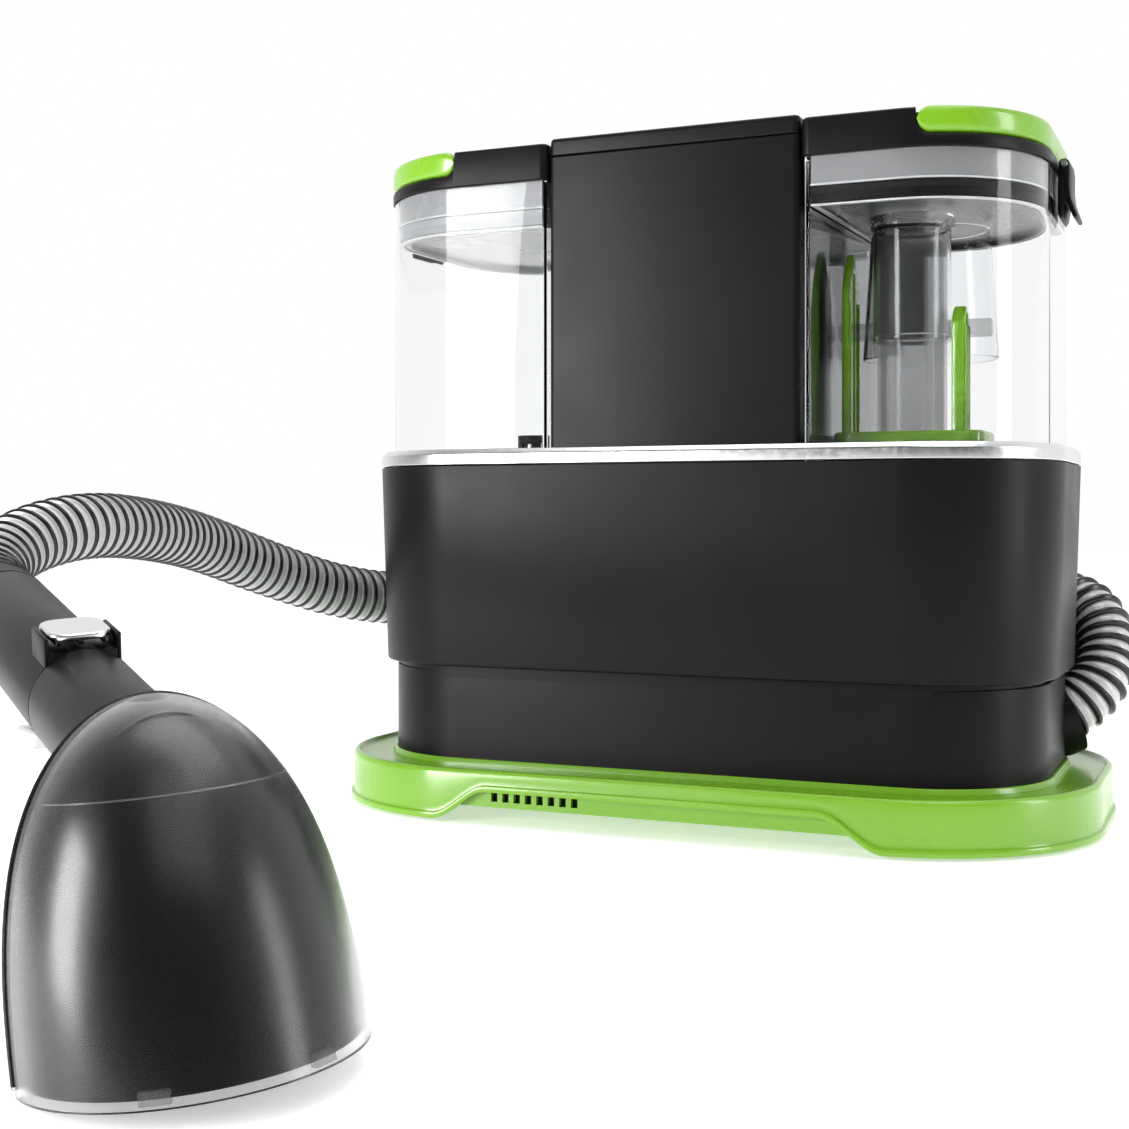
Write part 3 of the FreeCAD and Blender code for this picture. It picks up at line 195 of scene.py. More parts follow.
def build_stage():
    """A bright backdrop that dims towards the front, four soft lights and a white floor."""
    world = bpy.data.worlds.new("studio")
    world.use_nodes = True
    nodes = world.node_tree.nodes
    links = world.node_tree.links
    back = nodes["Background"]
    back.inputs["Color"].default_value = (1.0, 1.0, 1.0, 1.0)
    place = nodes.new("ShaderNodeTexCoord")
    split = nodes.new("ShaderNodeSeparateXYZ")
    shade = nodes.new("ShaderNodeMapRange")
    shade.inputs["From Min"].default_value = -0.6
    shade.inputs["From Max"].default_value = 0.5
    shade.inputs["To Min"].default_value = 0.08
    shade.inputs["To Max"].default_value = 1.0
    links.new(place.outputs["Generated"], split.inputs["Vector"])
    links.new(split.outputs["Y"], shade.inputs["Value"])
    links.new(shade.outputs["Result"], back.inputs["Strength"])
    bpy.context.scene.world = world
    bpy.context.scene.view_settings.view_transform = "Standard"
    area_light("front_soft", (-1.0, -1.5, 0.35), (-0.05, 0.0, 0.15), (0.5, 1.1), 40.0)
    area_light("side_soft", (1.7, -0.05, 0.5), (0.1, 0.0, 0.15), (0.4, 1.3), 12.0)
    area_light("top_soft", (0.0, 0.1, 1.9), (0.0, 0.0, 0.2), (1.6, 1.1), 16.0)
    area_light("high_fill", (0.9, -1.2, 2.2), (0.0, -0.2, 0.0), (1.6, 1.6), 12.0)
    size = 6.0  # half the floor's side, in metres
    data = bpy.data.meshes.new("floor")
    data.from_pydata([(-size, -size, 0), (size, -size, 0), (size, size, 0), (-size, size, 0)], [],
                     [(0, 1, 2, 3)])
    floor = bpy.data.objects.new("floor", data)
    bpy.context.scene.collection.objects.link(floor)
    material = new_material("floor_white", (0.93, 0.93, 0.93), 0.7)
    shader_of(material).inputs["Emission Color"].default_value = (1.0, 1.0, 1.0, 1.0)
    shader_of(material).inputs["Emission Strength"].default_value = 0.45
    floor.data.materials.append(material)


# ------------------------------------------------------------------ materials

def new_material(name, color, roughness, metallic=0.0):
    material = bpy.data.materials.new(name)
    material.use_nodes = True
    shader = material.node_tree.nodes["Principled BSDF"]
    shader.inputs["Base Color"].default_value = (*color, 1.0)
    shader.inputs["Roughness"].default_value = roughness
    shader.inputs["Metallic"].default_value = metallic
    return material


def noise(material, scale, detail=3.0, stretch=(1.0, 1.0, 1.0)):
    """Noise over the object's own place, stretched along the axes."""
    nodes = material.node_tree.nodes
    links = material.node_tree.links
    place = nodes.new("ShaderNodeTexCoord")
    mapping = nodes.new("ShaderNodeMapping")
    mapping.inputs["Scale"].default_value = stretch
    texture = nodes.new("ShaderNodeTexNoise")
    texture.inputs["Scale"].default_value = scale
    texture.inputs["Detail"].default_value = detail
    links.new(place.outputs["Object"], mapping.inputs["Vector"])
    links.new(mapping.outputs["Vector"], texture.inputs["Vector"])
    return texture.outputs["Fac"]


def spread(material, source, low, high):
    """Noise mapped between two values."""
    node = material.node_tree.nodes.new("ShaderNodeMapRange")
    node.inputs["From Min"].default_value = 0.3
    node.inputs["From Max"].default_value = 0.7
    node.inputs["To Min"].default_value = low
    node.inputs["To Max"].default_value = high
    material.node_tree.links.new(source, node.inputs["Value"])
    return node.outputs["Result"]


def blend_colors(material, source, first, second):
    node = material.node_tree.nodes.new("ShaderNodeValToRGB")
    node.color_ramp.elements[0].position = 0.35
    node.color_ramp.elements[0].color = (*first, 1.0)
    node.color_ramp.elements[1].position = 0.65
    node.color_ramp.elements[1].color = (*second, 1.0)
    material.node_tree.links.new(source, node.inputs["Fac"])
    return node.outputs["Color"]


def shader_of(material):
    return material.node_tree.nodes["Principled BSDF"]


def add_bump(material, source, strength, distance):
    node = material.node_tree.nodes.new("ShaderNodeBump")
    node.inputs["Strength"].default_value = strength
    node.inputs["Distance"].default_value = distance
    links = material.node_tree.links
    links.new(source, node.inputs["Height"])
    links.new(node.outputs["Normal"], shader_of(material).inputs["Normal"])


def moulded(name, first, second, rough, grain, strength, coat=0.0, coat_rough=0.1, shine=0.5):
    """Moulded plastic: faint mottle, uneven polish and a fine grain."""
    material = new_material(name, first, rough[0])
    shader = shader_of(material)
    links = material.node_tree.links
    links.new(blend_colors(material, noise(material, 9.0), first, second), shader.inputs["Base Color"])
    links.new(spread(material, noise(material, 26.0, 4.0), *rough), shader.inputs["Roughness"])
    shader.inputs["Specular IOR Level"].default_value = shine
    shader.inputs["Coat Weight"].default_value = coat
    shader.inputs["Coat Roughness"].default_value = coat_rough
    add_bump(material, noise(material, grain, 2.0), strength, 0.0002)
    return material


def clear(name, tint, rough, density=1.0, index=1.47):
    """Clear plastic, with the faint ripple of a moulded wall."""
    material = new_material(name, tint, rough[0])
    shader = shader_of(material)
    links = material.node_tree.links
    shader.inputs["Transmission Weight"].default_value = density
    shader.inputs["IOR"].default_value = index
    links.new(spread(material, noise(material, 14.0), *rough), shader.inputs["Roughness"])
    add_bump(material, noise(material, 9.0, 1.0), 0.012, 0.0003)
    return material


def see_through(name, tint, rough, cover):
    """Thin smoked plastic that lets light straight through."""
    material = new_material(name, tint, rough[0])
    shader = shader_of(material)
    shader.inputs["Alpha"].default_value = cover
    material.node_tree.links.new(spread(material, noise(material, 14.0), *rough), shader.inputs["Roughness"])
    return material


def metal(name, first, second, rough, stretch, relief=0.06):
    """Bare or lacquered metal, with fine lines along one axis."""
    material = new_material(name, first, rough[0], 1.0)
    shader = shader_of(material)
    links = material.node_tree.links
    links.new(blend_colors(material, noise(material, 30.0), first, second), shader.inputs["Base Color"])
    lines = noise(material, 300.0, 2.0, stretch)
    links.new(spread(material, lines, *rough), shader.inputs["Roughness"])
    add_bump(material, lines, relief, 0.0001)
    return material


def build_materials():
    return {
        "black": moulded("black_satin", (0.0045, 0.0045, 0.0048), (0.006, 0.006, 0.0063), (0.33, 0.40),
                         900.0, 0.05, shine=0.13),
        "piano": moulded("black_gloss", (0.005, 0.005, 0.0055), (0.007, 0.007, 0.0075), (0.1, 0.18), 400.0,
                         0.02),
        "grip": moulded("black_grip", (0.008, 0.008, 0.0085), (0.011, 0.011, 0.0115), (0.5, 0.62), 700.0,
                        0.25, shine=0.3),
        "green": moulded("green_gloss", (0.165, 0.375, 0.014), (0.18, 0.40, 0.017), (0.22, 0.3), 300.0, 0.02,
                         coat=0.3, coat_rough=0.1),
        "silver": metal("silver_lacquer", (0.70, 0.71, 0.72), (0.76, 0.77, 0.78), (0.2, 0.27),
                        (1.0, 1.0, 1.0), relief=0.004),
        "clear": clear("clear_tank", (0.97, 0.975, 0.98), (0.0, 0.03), index=1.22),
        "window": clear("clear_window", (0.93, 0.935, 0.94), (0.2, 0.24), index=1.3),
        "haze_clear": clear("hazed_insert", (0.93, 0.935, 0.94), (0.02, 0.06), index=1.33),
        "smoke": see_through("smoked_insert", (0.16, 0.162, 0.165), (0.08, 0.14), 0.3),
        "frost": moulded("frosted_band", (0.31, 0.315, 0.32), (0.37, 0.375, 0.38), (0.2, 0.3), 300.0, 0.02),
        "pale": clear("pale_insert", (0.82, 0.83, 0.84), (0.2, 0.3), 0.6),
        "haze": moulded("grey_band", (0.30, 0.30, 0.305), (0.35, 0.35, 0.355), (0.16, 0.24), 300.0, 0.02),
        "shade": moulded("dark_floor", (0.012, 0.012, 0.0125), (0.016, 0.016, 0.0165), (0.24, 0.32), 300.0,
                         0.02, shine=0.3),
        # the lips' near-white colour is a painted highlight along the edges of the seal's groove
        "lip": moulded("lip_painted_highlight", (0.74, 0.75, 0.76), (0.80, 0.81, 0.82), (0.12, 0.2), 300.0, 0.02),
        "rubber": moulded("soft_rubber", (0.004, 0.004, 0.0045), (0.006, 0.006, 0.0065), (0.45, 0.6), 500.0,
                          0.15, shine=0.25),
        "web": moulded("hose_web", (0.46, 0.465, 0.47), (0.56, 0.565, 0.57), (0.18, 0.28), 500.0, 0.03,
                       coat=0.5, coat_rough=0.12),
        "coil": moulded("hose_coil", (0.007, 0.007, 0.0075), (0.011, 0.011, 0.0115), (0.2, 0.3), 900.0, 0.04,
                        shine=0.4),
        "steel": metal("turned_steel", (0.56, 0.56, 0.57), (0.66, 0.66, 0.67), (0.22, 0.4),
                       (1.0, 1.0, 12.0)),
        "alloy": metal("cast_alloy", (0.6, 0.61, 0.62), (0.7, 0.7, 0.71), (0.4, 0.6), (1.0, 1.0, 1.0)),
        "brass": metal("turned_brass", (0.68, 0.47, 0.19), (0.78, 0.58, 0.28), (0.2, 0.35),
                       (1.0, 1.0, 12.0)),
    }


# ------------------------------------------------------------------ mesh helpers

def make_piece(name, mesh, materials, body, replaces=(), slots=None, sharp=30.0):
    """A closed piece from millimetre points and faces, riding on a body and standing for its CAD nodes."""
    verts, faces = mesh
    data = bpy.data.meshes.new(name)
    data.from_pydata([Vector(v) * MM for v in verts], [], faces)
    for material in materials:
        data.materials.append(looks[material])
    if slots:
        data.polygons.foreach_set("material_index", slots)
    work = bmesh.new()
    work.from_mesh(data)
    bmesh.ops.remove_doubles(work, verts=work.verts, dist=2e-6)
    bmesh.ops.dissolve_degenerate(work, edges=work.edges, dist=1e-7)
    bmesh.ops.recalc_face_normals(work, faces=work.faces)
    work.to_mesh(data)
    work.free()
    data.polygons.foreach_set("use_smooth", [True] * len(data.polygons))
    data.set_sharp_from_angle(angle=math.radians(sharp))
    piece = bpy.data.objects.new(name, data)
    bpy.context.scene.collection.objects.link(piece)
    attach(piece, body)
    if replaces:
        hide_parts(*replaces)
    return piece


def skin(rings, loop=False):
    """Faces over rings of equal count: capped at both ends, or joined last to first."""
    count = len(rings[0])
    verts = [point for ring in rings for point in ring]
    faces = []
    pairs = list(zip(range(len(rings) - 1), range(1, len(rings))))
    if loop:
        pairs.append((len(rings) - 1, 0))
    for low, high in pairs:
        for k in range(count):
            after = (k + 1) % count
            faces.append((low * count + k, low * count + after, high * count + after, high * count + k))
    if not loop:
        faces.append(tuple(range(count)))
        faces.append(tuple((len(rings) - 1) * count + k for k in range(count)))
    return verts, faces


def join_meshes(meshes):
    """Several (points, faces) pairs as one."""
    verts = []
    faces = []
    for some_verts, some_faces in meshes:
        first = len(verts)
        verts += list(some_verts)
        faces += [tuple(first + k for k in face) for face in some_faces]
    return verts, faces


def corner_turns(bend, radius, stops, steps):
    """Angles round a corner: even steps, and one for each stop beyond where the corner starts."""
    extra = [math.asin(min((stop - bend) / radius, 1.0)) for stop in stops if stop > bend]
    return sorted([math.pi / 2 * k / steps for k in range(steps + 1)] + extra)


def outline(shape, inset=0.0, stops=(), steps=14):
    """Points round a rectangle with round corners, counter-clockwise, as many for every inset."""
    near, far, deep, near_round, far_round = shape
    left = inset - near
    right = far - inset
    half = deep - inset
    small = max(near_round - inset, 0.4)
    large = max(far_round - inset, 0.4)
    far_turns = corner_turns(far - far_round, far_round, stops, steps)
    near_turns = corner_turns(near - near_round, near_round, [-stop for stop in stops], steps)
    middle = [stop for stop in sorted(stops) if near_round - near < stop < far - far_round]
    front = [(min(max(stop, left + small), right - large), -half) for stop in middle]
    points = list(front)
    points += [(right - large + large * math.sin(t), -half + large - large * math.cos(t)) for t in far_turns]
    points += [(right - large + large * math.sin(t), half - large + large * math.cos(t))
               for t in reversed(far_turns)]
    points += [(x, half) for x, y in reversed(front)]
    points += [(left + small - small * math.sin(t), half - small + small * math.cos(t)) for t in near_turns]
    points += [(left + small - small * math.sin(t), -half + small - small * math.cos(t))
               for t in reversed(near_turns)]
    return points


def soften(points, steps=5):
    """A path of (out, height, radius) with each corner rounded by its radius, as (out, height) pairs."""
    path = []
    for number, (out, height, radius) in enumerate(points):
        if radius <= 0 or number in (0, len(points) - 1):
            path.append((out, height))
            continue
        here = Vector((out, height))
        back = (Vector(points[number - 1][:2]) - here)
        ahead = (Vector(points[number + 1][:2]) - here)
        turn = math.pi - back.angle(ahead)
        reach = min(radius * math.tan(turn / 2), 0.49 * back.length, 0.49 * ahead.length)
        start = here + back.normalized() * reach
        end = here + ahead.normalized() * reach
        for step in range(steps + 1):
            t = step / steps
            point = start * (1 - t) ** 2 + here * (2 * t * (1 - t)) + end * t ** 2
            path.append((point.x, point.y))
    return path


def sweep(shape, path, stops=(), place=None, steps=14):
    """Rings round an outline, one for each (outset, height) of a path; a height may be a function of x and y
    on the outline itself."""
    whole = outline(shape, 0.0, stops, steps)
    rings = []
    for out, height in path:
        ring = []
        for (x, y), at in zip(outline(shape, -out, stops, steps), whole):
            z = height(*at) if callable(height) else height
            ring.append(place(x, y, z) if place else (x, y, z))
        rings.append(ring)
    return rings


def turned(path, place, count=48):
    """Rings of a turned form: path of (radius, along), place a function of (across, up, along)."""
    turns = [2 * math.pi * k / count for k in range(count)]
    return [[place(radius * math.cos(turn), radius * math.sin(turn), along) for turn in turns]
            for radius, along in path]


def turned_on_tube(path, count=48):
    """Rings of a form turned round the hand tool's tube."""
    return turned(path, lambda across, up, along: tube_point(along, across, up), count)


def turned_upright(path, centre, count=48):
    """Rings of a form turned round an upright line through a centre."""
    return turned(path, lambda across, back, high: Vector((centre.x + across, centre.y + back, high)), count)


def round_box(left, right, low, high, radius, steps):
    """Points round a box whose corners turn at a radius about the four corners given."""
    points = []
    for x, y, start in ((right, low, -90), (right, high, 0), (left, high, 90), (left, low, 180)):
        for step in range(steps + 1):
            angle = math.radians(start + 90 * step / steps)
            points.append((x + radius * math.cos(angle), y + radius * math.sin(angle)))
    return points


def slab_mesh(corners, low, high, soft=0.8, steps=3):
    """A flat plate: its corner points as (x, y), between two heights, with softened edges, as rings."""
    middle = Vector((sum(c[0] for c in corners), sum(c[1] for c in corners))) / len(corners)
    path = soften([(-soft * 2, low, 0), (0, low, soft), (0, high, soft), (-soft * 2, high, 0)], steps)
    rings = []
    for out, height in path:
        ring = []
        for x, y in corners:
            away = Vector((x, y)) - middle
            grow = 1 + out / max(away.length, 1e-6)
            ring.append((middle.x + away.x * grow, middle.y + away.y * grow, height))
        rings.append(ring)
    return rings


# ------------------------------------------------------------------ hose

def hose_line():
    """The hose's centre line, read from a spline through the route's control points."""
    curve = bpy.data.curves.new("hose_route", "CURVE")
    curve.dimensions = "3D"
    curve.resolution_u = 40
    spline = curve.splines.new("NURBS")
    start = tube_point(COLLAR_END, 0, 0) * MM
    end = port_point(-PORT_INSIDE) * MM
    route = [tuple(start)] + HOSE_ROUTE + [tuple(end)]
    spline.points.add(len(route) - 1)
    for point, place in zip(spline.points, route):
        point.co = (*place, 1.0)
    spline.order_u = 3  # a quadratic curve, so that the hose keeps close to its route
    spline.use_endpoint_u = True
    holder = bpy.data.objects.new("hose_route", curve)
    bpy.context.scene.collection.objects.link(holder)
    mesh = bpy.data.meshes.new_from_object(holder)
    line = [vertex.co.copy() for vertex in mesh.vertices]
    bpy.data.objects.remove(holder)
    bpy.data.curves.remove(curve)
    bpy.data.meshes.remove(mesh)
    return line


def even_steps(line, step):
    """Points along a line at one spacing, in metres."""
    lengths = [0.0]
    for before, after in zip(line, line[1:]):
        lengths.append(lengths[-1] + (after - before).length)
    count = round(lengths[-1] / step)
    points = []
    index = 0
    for number in range(count + 1):
        target = lengths[-1] * number / count
        while index < len(line) - 2 and lengths[index + 1] < target:
            index += 1
        share = (target - lengths[index]) / (lengths[index + 1] - lengths[index])
        points.append(line[index].lerp(line[index + 1], share))
    return points, lengths[-1]


def hose_radius(phase):
    """The hose's radius over one turn of its coil, from one ridge's foot to the next."""
    if phase < RIDGE_SHARE:
        across = 2 * phase / RIDGE_SHARE - 1
        return HOSE_RADIUS - 1.5 + 1.5 * math.sqrt(max(1 - across * across * 0.92, 0.0))
    bulge = math.sin(math.pi * (phase - RIDGE_SHARE) / (1 - RIDGE_SHARE))
    return HOSE_RADIUS - 2.5 + 0.8 * bulge


def build_hose():
    """The hose's wall: rows that follow its coil, so ridge and web each keep their own faces."""
    points, length = even_steps(hose_line(), HOSE_PITCH * MM / (ROWS_PER_TURN * 3))
    step = length / (len(points) - 1)
    tangents = [(points[min(k + 1, len(points) - 1)] - points[max(k - 1, 0)]).normalized()
                for k in range(len(points))]
    sides = [tangents[0].orthogonal().normalized()]
    for tangent in tangents[1:]:
        sides.append((sides[-1] - tangent * sides[-1].dot(tangent)).normalized())
    turns = math.ceil(length / (HOSE_PITCH * MM)) + 1
    rows = []
    for number in range(-ROWS_PER_TURN, turns * ROWS_PER_TURN + 1):
        row = []
        for k in range(HOSE_AROUND + 1):
            away = (number / ROWS_PER_TURN + k / HOSE_AROUND) * HOSE_PITCH * MM
            radius = hose_radius(number % ROWS_PER_TURN / ROWS_PER_TURN)
            if away <= 0.0 or away >= length:  # past an end, the wall closes inwards
                radius = HOSE_RADIUS - 3.4 - 0.004 * (number % 97)
            spot = min(max(away, 0.0), length) / step
            low = min(int(spot), len(points) - 2)
            share = spot - low
            point = points[low].lerp(points[low + 1], share)
            side = sides[low].lerp(sides[low + 1], share).normalized()
            over = tangents[low].lerp(tangents[low + 1], share).normalized().cross(side)
            angle = 2 * math.pi * k / HOSE_AROUND
            row.append((point + (side * math.cos(angle) + over * math.sin(angle)) * radius * MM) / MM)
        rows.append(row)
    width = HOSE_AROUND + 1
    verts = [point for row in rows for point in row]
    faces = []
    slots = []
    for number in range(len(rows) - 1):
        for k in range(HOSE_AROUND):
            first = number * width + k
            faces.append((first, first + 1, first + width + 1, first + width))
            slots.append(1 if number % ROWS_PER_TURN < RIDGE_ROWS else 0)
    faces.append(tuple(range(HOSE_AROUND)))
    last = (len(rows) - 1) * width
    faces.append(tuple(last + k for k in range(HOSE_AROUND)))
    slots += [1, 1]
    hose = make_piece("ribbed_hose", (verts, faces), ["web", "coil"], "machine", ["hose"], slots, sharp=80.0)
    cuff = build_cuff()


def build_cuff():
    """The swivel cuff where the hose meets the handle."""
    path = soften([(HOSE_RADIUS - 2.6, HANDLE_LENGTH + 0.6, 0),
                   (TUBE_RADIUS - 0.6, HANDLE_LENGTH + 0.6, 0.5),
                   (TUBE_RADIUS - 0.6, COLLAR_END - 0.6, 1.4), (HOSE_RADIUS - 0.4, COLLAR_END, 0.6),
                   (HOSE_RADIUS - 2.6, COLLAR_END, 0)])
    rings = turned_on_tube(path)
    cuff = make_piece("hose_cuff", skin(rings, loop=True), ["black"], "machine", ["hose_collar"])
    return cuff


# ------------------------------------------------------------------ base, skirt, housing, trim

ARCH_OUTER = 112.0
ARCH_INNER = 82.0
ARCH_HIGH = 16.3


def low_edge(x, y):
    """The base cover's bottom edge: on its feet at the ends, raised by an S-bend between them."""
    share = min(max((ARCH_OUTER - abs(x)) / (ARCH_OUTER - ARCH_INNER), 0.0), 1.0)
    return BASE_LOW + (ARCH_HIGH - BASE_LOW) * share * share * (3 - 2 * share)


def build_base():
    def above(rise):
        return lambda x, y: low_edge(x, y) + rise

    s_bend = [ARCH_INNER + (ARCH_OUTER - ARCH_INNER) * k / 14 for k in range(-1, 16)]
    stops = [-x for x in s_bend] + s_bend + [-50.0, 0.0, 50.0]
    path = [(-3.0, BASE_TOP - 3.0), (-3.0, above(1.0)), (-2.6, above(0.0)), (0.9, above(0.0)),
            (1.4, above(0.15)),
            (1.6, above(0.6)), (1.6, above(2.3)), (1.4, above(2.9)), (0.9, above(3.2)), (0.15, above(3.35)),
            (0.0, above(4.0)), (0.0, above(6.0)), (0.0, BASE_TOP - 2.6), (-0.2, BASE_TOP - 1.6),
            (-0.7, BASE_TOP - 0.8), (-1.5, BASE_TOP - 0.25), (-2.3, BASE_TOP - 0.02), (-3.0, BASE_TOP - 0.3),
            (-3.5, BASE_TOP - 1.2), (-4.0, BASE_TOP - 2.0), (-5.0, BASE_TOP - 2.4), (-24.0, BASE_TOP - 2.6)]
    rings = sweep(BASE, path, stops, steps=26)
    cover = make_piece("base_shell", skin(rings), ["green"], "machine", ["base_cover"], sharp=38.0)
    bead = soften([(0.3, BASE_TOP - 3.0, 0), (2.6, BASE_TOP - 3.0, 0), (2.6, BASE_TOP - 1.8, 0.5),
                   (1.6, BASE_TOP + 0.6, 0.6), (0.3, BASE_TOP + 0.6, 0)])
    collar = make_piece("base_collar", skin(sweep(SKIRT, bead, steps=26), loop=True), ["green"], "machine")
    baffle = sweep(BASE, [(-9.0, 9.6), (-7.0, 9.6), (-7.0, 20.0), (-9.0, 20.0)], steps=14)
    liner = make_piece("vent_liner", skin(baffle, loop=True), ["rubber"], "machine")


def build_body():
    path = soften([(-2.8, BASE_TOP, 0), (0, BASE_TOP, 0), (0, SKIRT_TOP, 0.9), (-2.8, SKIRT_TOP, 0)])
    skirt = make_piece("skirt_shell", skin(sweep(SKIRT, path, steps=26), loop=True), ["black"], "machine",
                       ["lower_skirt"])
    low = SKIRT_TOP + 2.4
    draft = 3.2
    path = soften([(-6.6, low - 6.0, 0), (-7.4, low - 6.0, 0), (-7.4, low, 0), (0, low, 1.6),
                   (draft, TRIM_LOW - 0.5, 0.4), (draft - 2.8, TRIM_LOW - 0.5, 0), (-2.8, low + 2.8, 0),
                   (-6.6, low + 2.8, 0)])
    housing = make_piece("housing_shell", skin(sweep(HOUSE, path, steps=26), loop=True), ["black"],
                         "machine", ["main_housing"])
    path = soften([(draft - 4.2, TRIM_LOW, 0), (draft - 0.5, TRIM_LOW, 0.3), (draft, TRIM_LOW + 0.5, 0.3),
                   (draft, TRIM_TOP - 2.6, 1.6), (draft - 2.2, TRIM_TOP, 1.0), (draft - 4.2, TRIM_TOP, 0.5),
                   (draft - 4.2, TRIM_LOW, 0)])
    trim = make_piece("trim_band", skin(sweep(HOUSE, path[:-1], steps=26), loop=True), ["silver"],
                      "machine", ["trim_ring"])


# ------------------------------------------------------------------ column

def build_column():
    gap = 0.25
    path = soften([(-2.8, DECK, 0), (0, DECK, 0), (0, CAP_LOW - gap, 0.7), (-2.8, CAP_LOW - gap, 0)])
    column = make_piece("column_shell", skin(sweep(COLUMN, path, steps=8), loop=True), ["black"], "machine",
                        ["column_front", "column_back"])
    build_grille()
    build_cap(gap)
    build_button()


def build_grille():
    """Proud louvres of the exhaust grille on the column's back."""
    meshes = []
    low = DECK + 36.0
    for number in range(7):
        height = low + 7.0 * number
        rings = []
        for x in (-30.0, -29.0, 29.0, 30.0):
            deep = 1.6 if abs(x) < 29.5 else 0.4
            profile = [(-1.0, -1.4), (deep * 0.6, -1.4), (deep, -0.6), (deep * 0.5, 1.4), (-1.0, 1.4)]
            rings.append([(x, COLUMN_DEEP + out, height + up) for out, up in profile])
        meshes.append(skin(rings))
    grille = make_piece("exhaust_louvres", join_meshes(meshes), ["grip"], "machine")


def build_cap(gap):
    """The column's cap, with the hand well let into it round the carry grip."""
    well = (46.0, 46.0, 30.0, 7.0, 7.0)
    well_mid = 18.0
    well_low = CAP_TOP - 36.0
    moved = lambda x, y, z: (x, y + well_mid, z)
    under = sweep(well, [(2.0, well_low - 2.0), (2.0, CAP_LOW + gap + 2.0)], place=moved, steps=8)
    inner = [(-3.2, CAP_LOW + gap + 2.0)]
    outer = soften([(-3.2, CAP_LOW + gap, 0), (0, CAP_LOW + gap, 0.6), (0, CAP_TOP, 2.4),
                    (-5.0, CAP_TOP, 0)])
    mouth = soften([(1.4, CAP_TOP, 0), (0, CAP_TOP, 1.3), (-1.0, well_low, 4.0), (-8.0, well_low, 0)])
    rings = under + sweep(COLUMN, inner + outer, steps=8) + sweep(well, mouth, place=moved, steps=8)
    cap = make_piece("column_top", skin(rings), ["black"], "machine", ["column_cap"], sharp=35.0)
    rings = []
    for x in (-46.0, -45.0, -20.0, 0.0, 20.0, 45.0, 46.0):
        profile = soften([(18.0, CAP_TOP - 19.0, 0), (7.2, CAP_TOP - 19.0, 5.0), (7.2, CAP_TOP - 1.2, 5.0),
                          (28.8, CAP_TOP - 1.2, 5.0), (28.8, CAP_TOP - 19.0, 5.0),
                          (18.0, CAP_TOP - 19.0, 0)])[:-1]
        rings.append([(x, y, z) for y, z in profile])
    grip = make_piece("grip_bar", skin(rings), ["grip"], "machine", ["carry_grip"])


def build_button():
    top = CAP_TOP - 0.3
    path = soften([(0.02, top - 9.0, 0), (10.4, top - 9.0, 0), (10.4, top, 1.2), (8.6, top, 0.6),
                   (6.4, top - 0.9, 1.0), (0.02, top - 1.1, 0)])
    rings = turned_upright(path, BUTTON)
    button = make_piece("power_cap", skin(rings), ["silver"], "power_button", ["power_button"])
    path = soften([(10.9, CAP_TOP - 1.0, 0), (10.9, CAP_TOP + 0.0, 0.3), (13.6, CAP_TOP - 0.02, 0.3),
                   (13.6, CAP_TOP - 1.0, 0)])
    rings = turned_upright(path, BUTTON)
    bezel = make_piece("button_bezel", skin(rings, loop=True), ["piano"], "machine")


# ------------------------------------------------------------------ tanks and lids

LID_GROW = 0.9
BAIL_DEEP = 9.0
BAIL_MID = (BAIL_TOP + BAIL_LOW) / 2
BAIL_HALF = (BAIL_TOP - BAIL_LOW) / 2
NOTCH_RADIUS = BAIL_HALF + 0.5
BAIL_PIVOT = {
    "clean": BAIL_HALF - corner("clean_handle", 1).x - SIDE_AT,
    "dirty": BAIL_HALF + corner("dirty_handle", 0).x - SIDE_AT,
}
BAIL_INNER = {"clean": 82.8, "dirty": 82.1}


def build_tank(side, name):
    place = lambda x, y, z: side_point(side, x, y, z)
    path = soften([(-12.0, TANK_LOW, 0), (0, TANK_LOW, 2.6), (0, TANK_TOP, 0.6), (-2.2, TANK_TOP, 0.6),
                   (-2.2, TANK_LOW + 2.2, 2.0), (-12.0, TANK_LOW + 2.2, 0)])
    rings = sweep(TANKS[name], path, place=place, steps=36)
    node = name + "_tank"
    tank = make_piece(name + "_vessel", skin(rings), ["clear"], node, [node])


def lid_top(pivot, x):
    """The height of a lid's outer wall: full beside the column, lower under the bail."""
    if x < pivot - NOTCH_RADIUS:
        return LID_TOP
    if x >= pivot:
        return BAIL_MID - NOTCH_RADIUS
    return BAIL_MID - math.sqrt(max(NOTCH_RADIUS ** 2 - (pivot - x) ** 2, 0.0))


def build_lid(side, name):
    place = lambda x, y, z: side_point(side, x, y, z)
    pivot = BAIL_PIVOT[name]
    notch_at = pivot - NOTCH_RADIUS
    stops = [15.0, 30.0, notch_at - 0.02, notch_at + 0.001]
    stops += [pivot - NOTCH_RADIUS * math.cos(math.pi / 2 * k / 10) for k in range(1, 11)]

    def below_top(drop):
        return lambda x, y: lid_top(pivot, x) - drop

    def inner_top(drop):
        return lambda x, y: max(lid_top(pivot, x) + 0.02, LID_TOP - drop)

    path = [(-4.0, LID_LOW), (LID_GROW - 0.5, LID_LOW), (LID_GROW, LID_LOW + 0.5),
            (LID_GROW, below_top(1.3)),
            (LID_GROW - 0.35, below_top(0.45)), (LID_GROW - 1.2, below_top(0.0)),
            (-BAIL_DEEP + 0.4, below_top(0.0)), (-BAIL_DEEP, inner_top(1.2)),
            (-BAIL_DEEP - 0.3, inner_top(0.5)),
            (-BAIL_DEEP - 1.1, inner_top(0.02)), (-18.0, LID_TOP + 0.25), (-30.0, LID_TOP + 0.3)]
    rings = sweep(TANKS[name], path, stops, place, steps=36)
    node = name + "_lid"
    lid = make_piece(name + "_lid_shell", skin(rings), ["black"], node, [node], sharp=40.0)


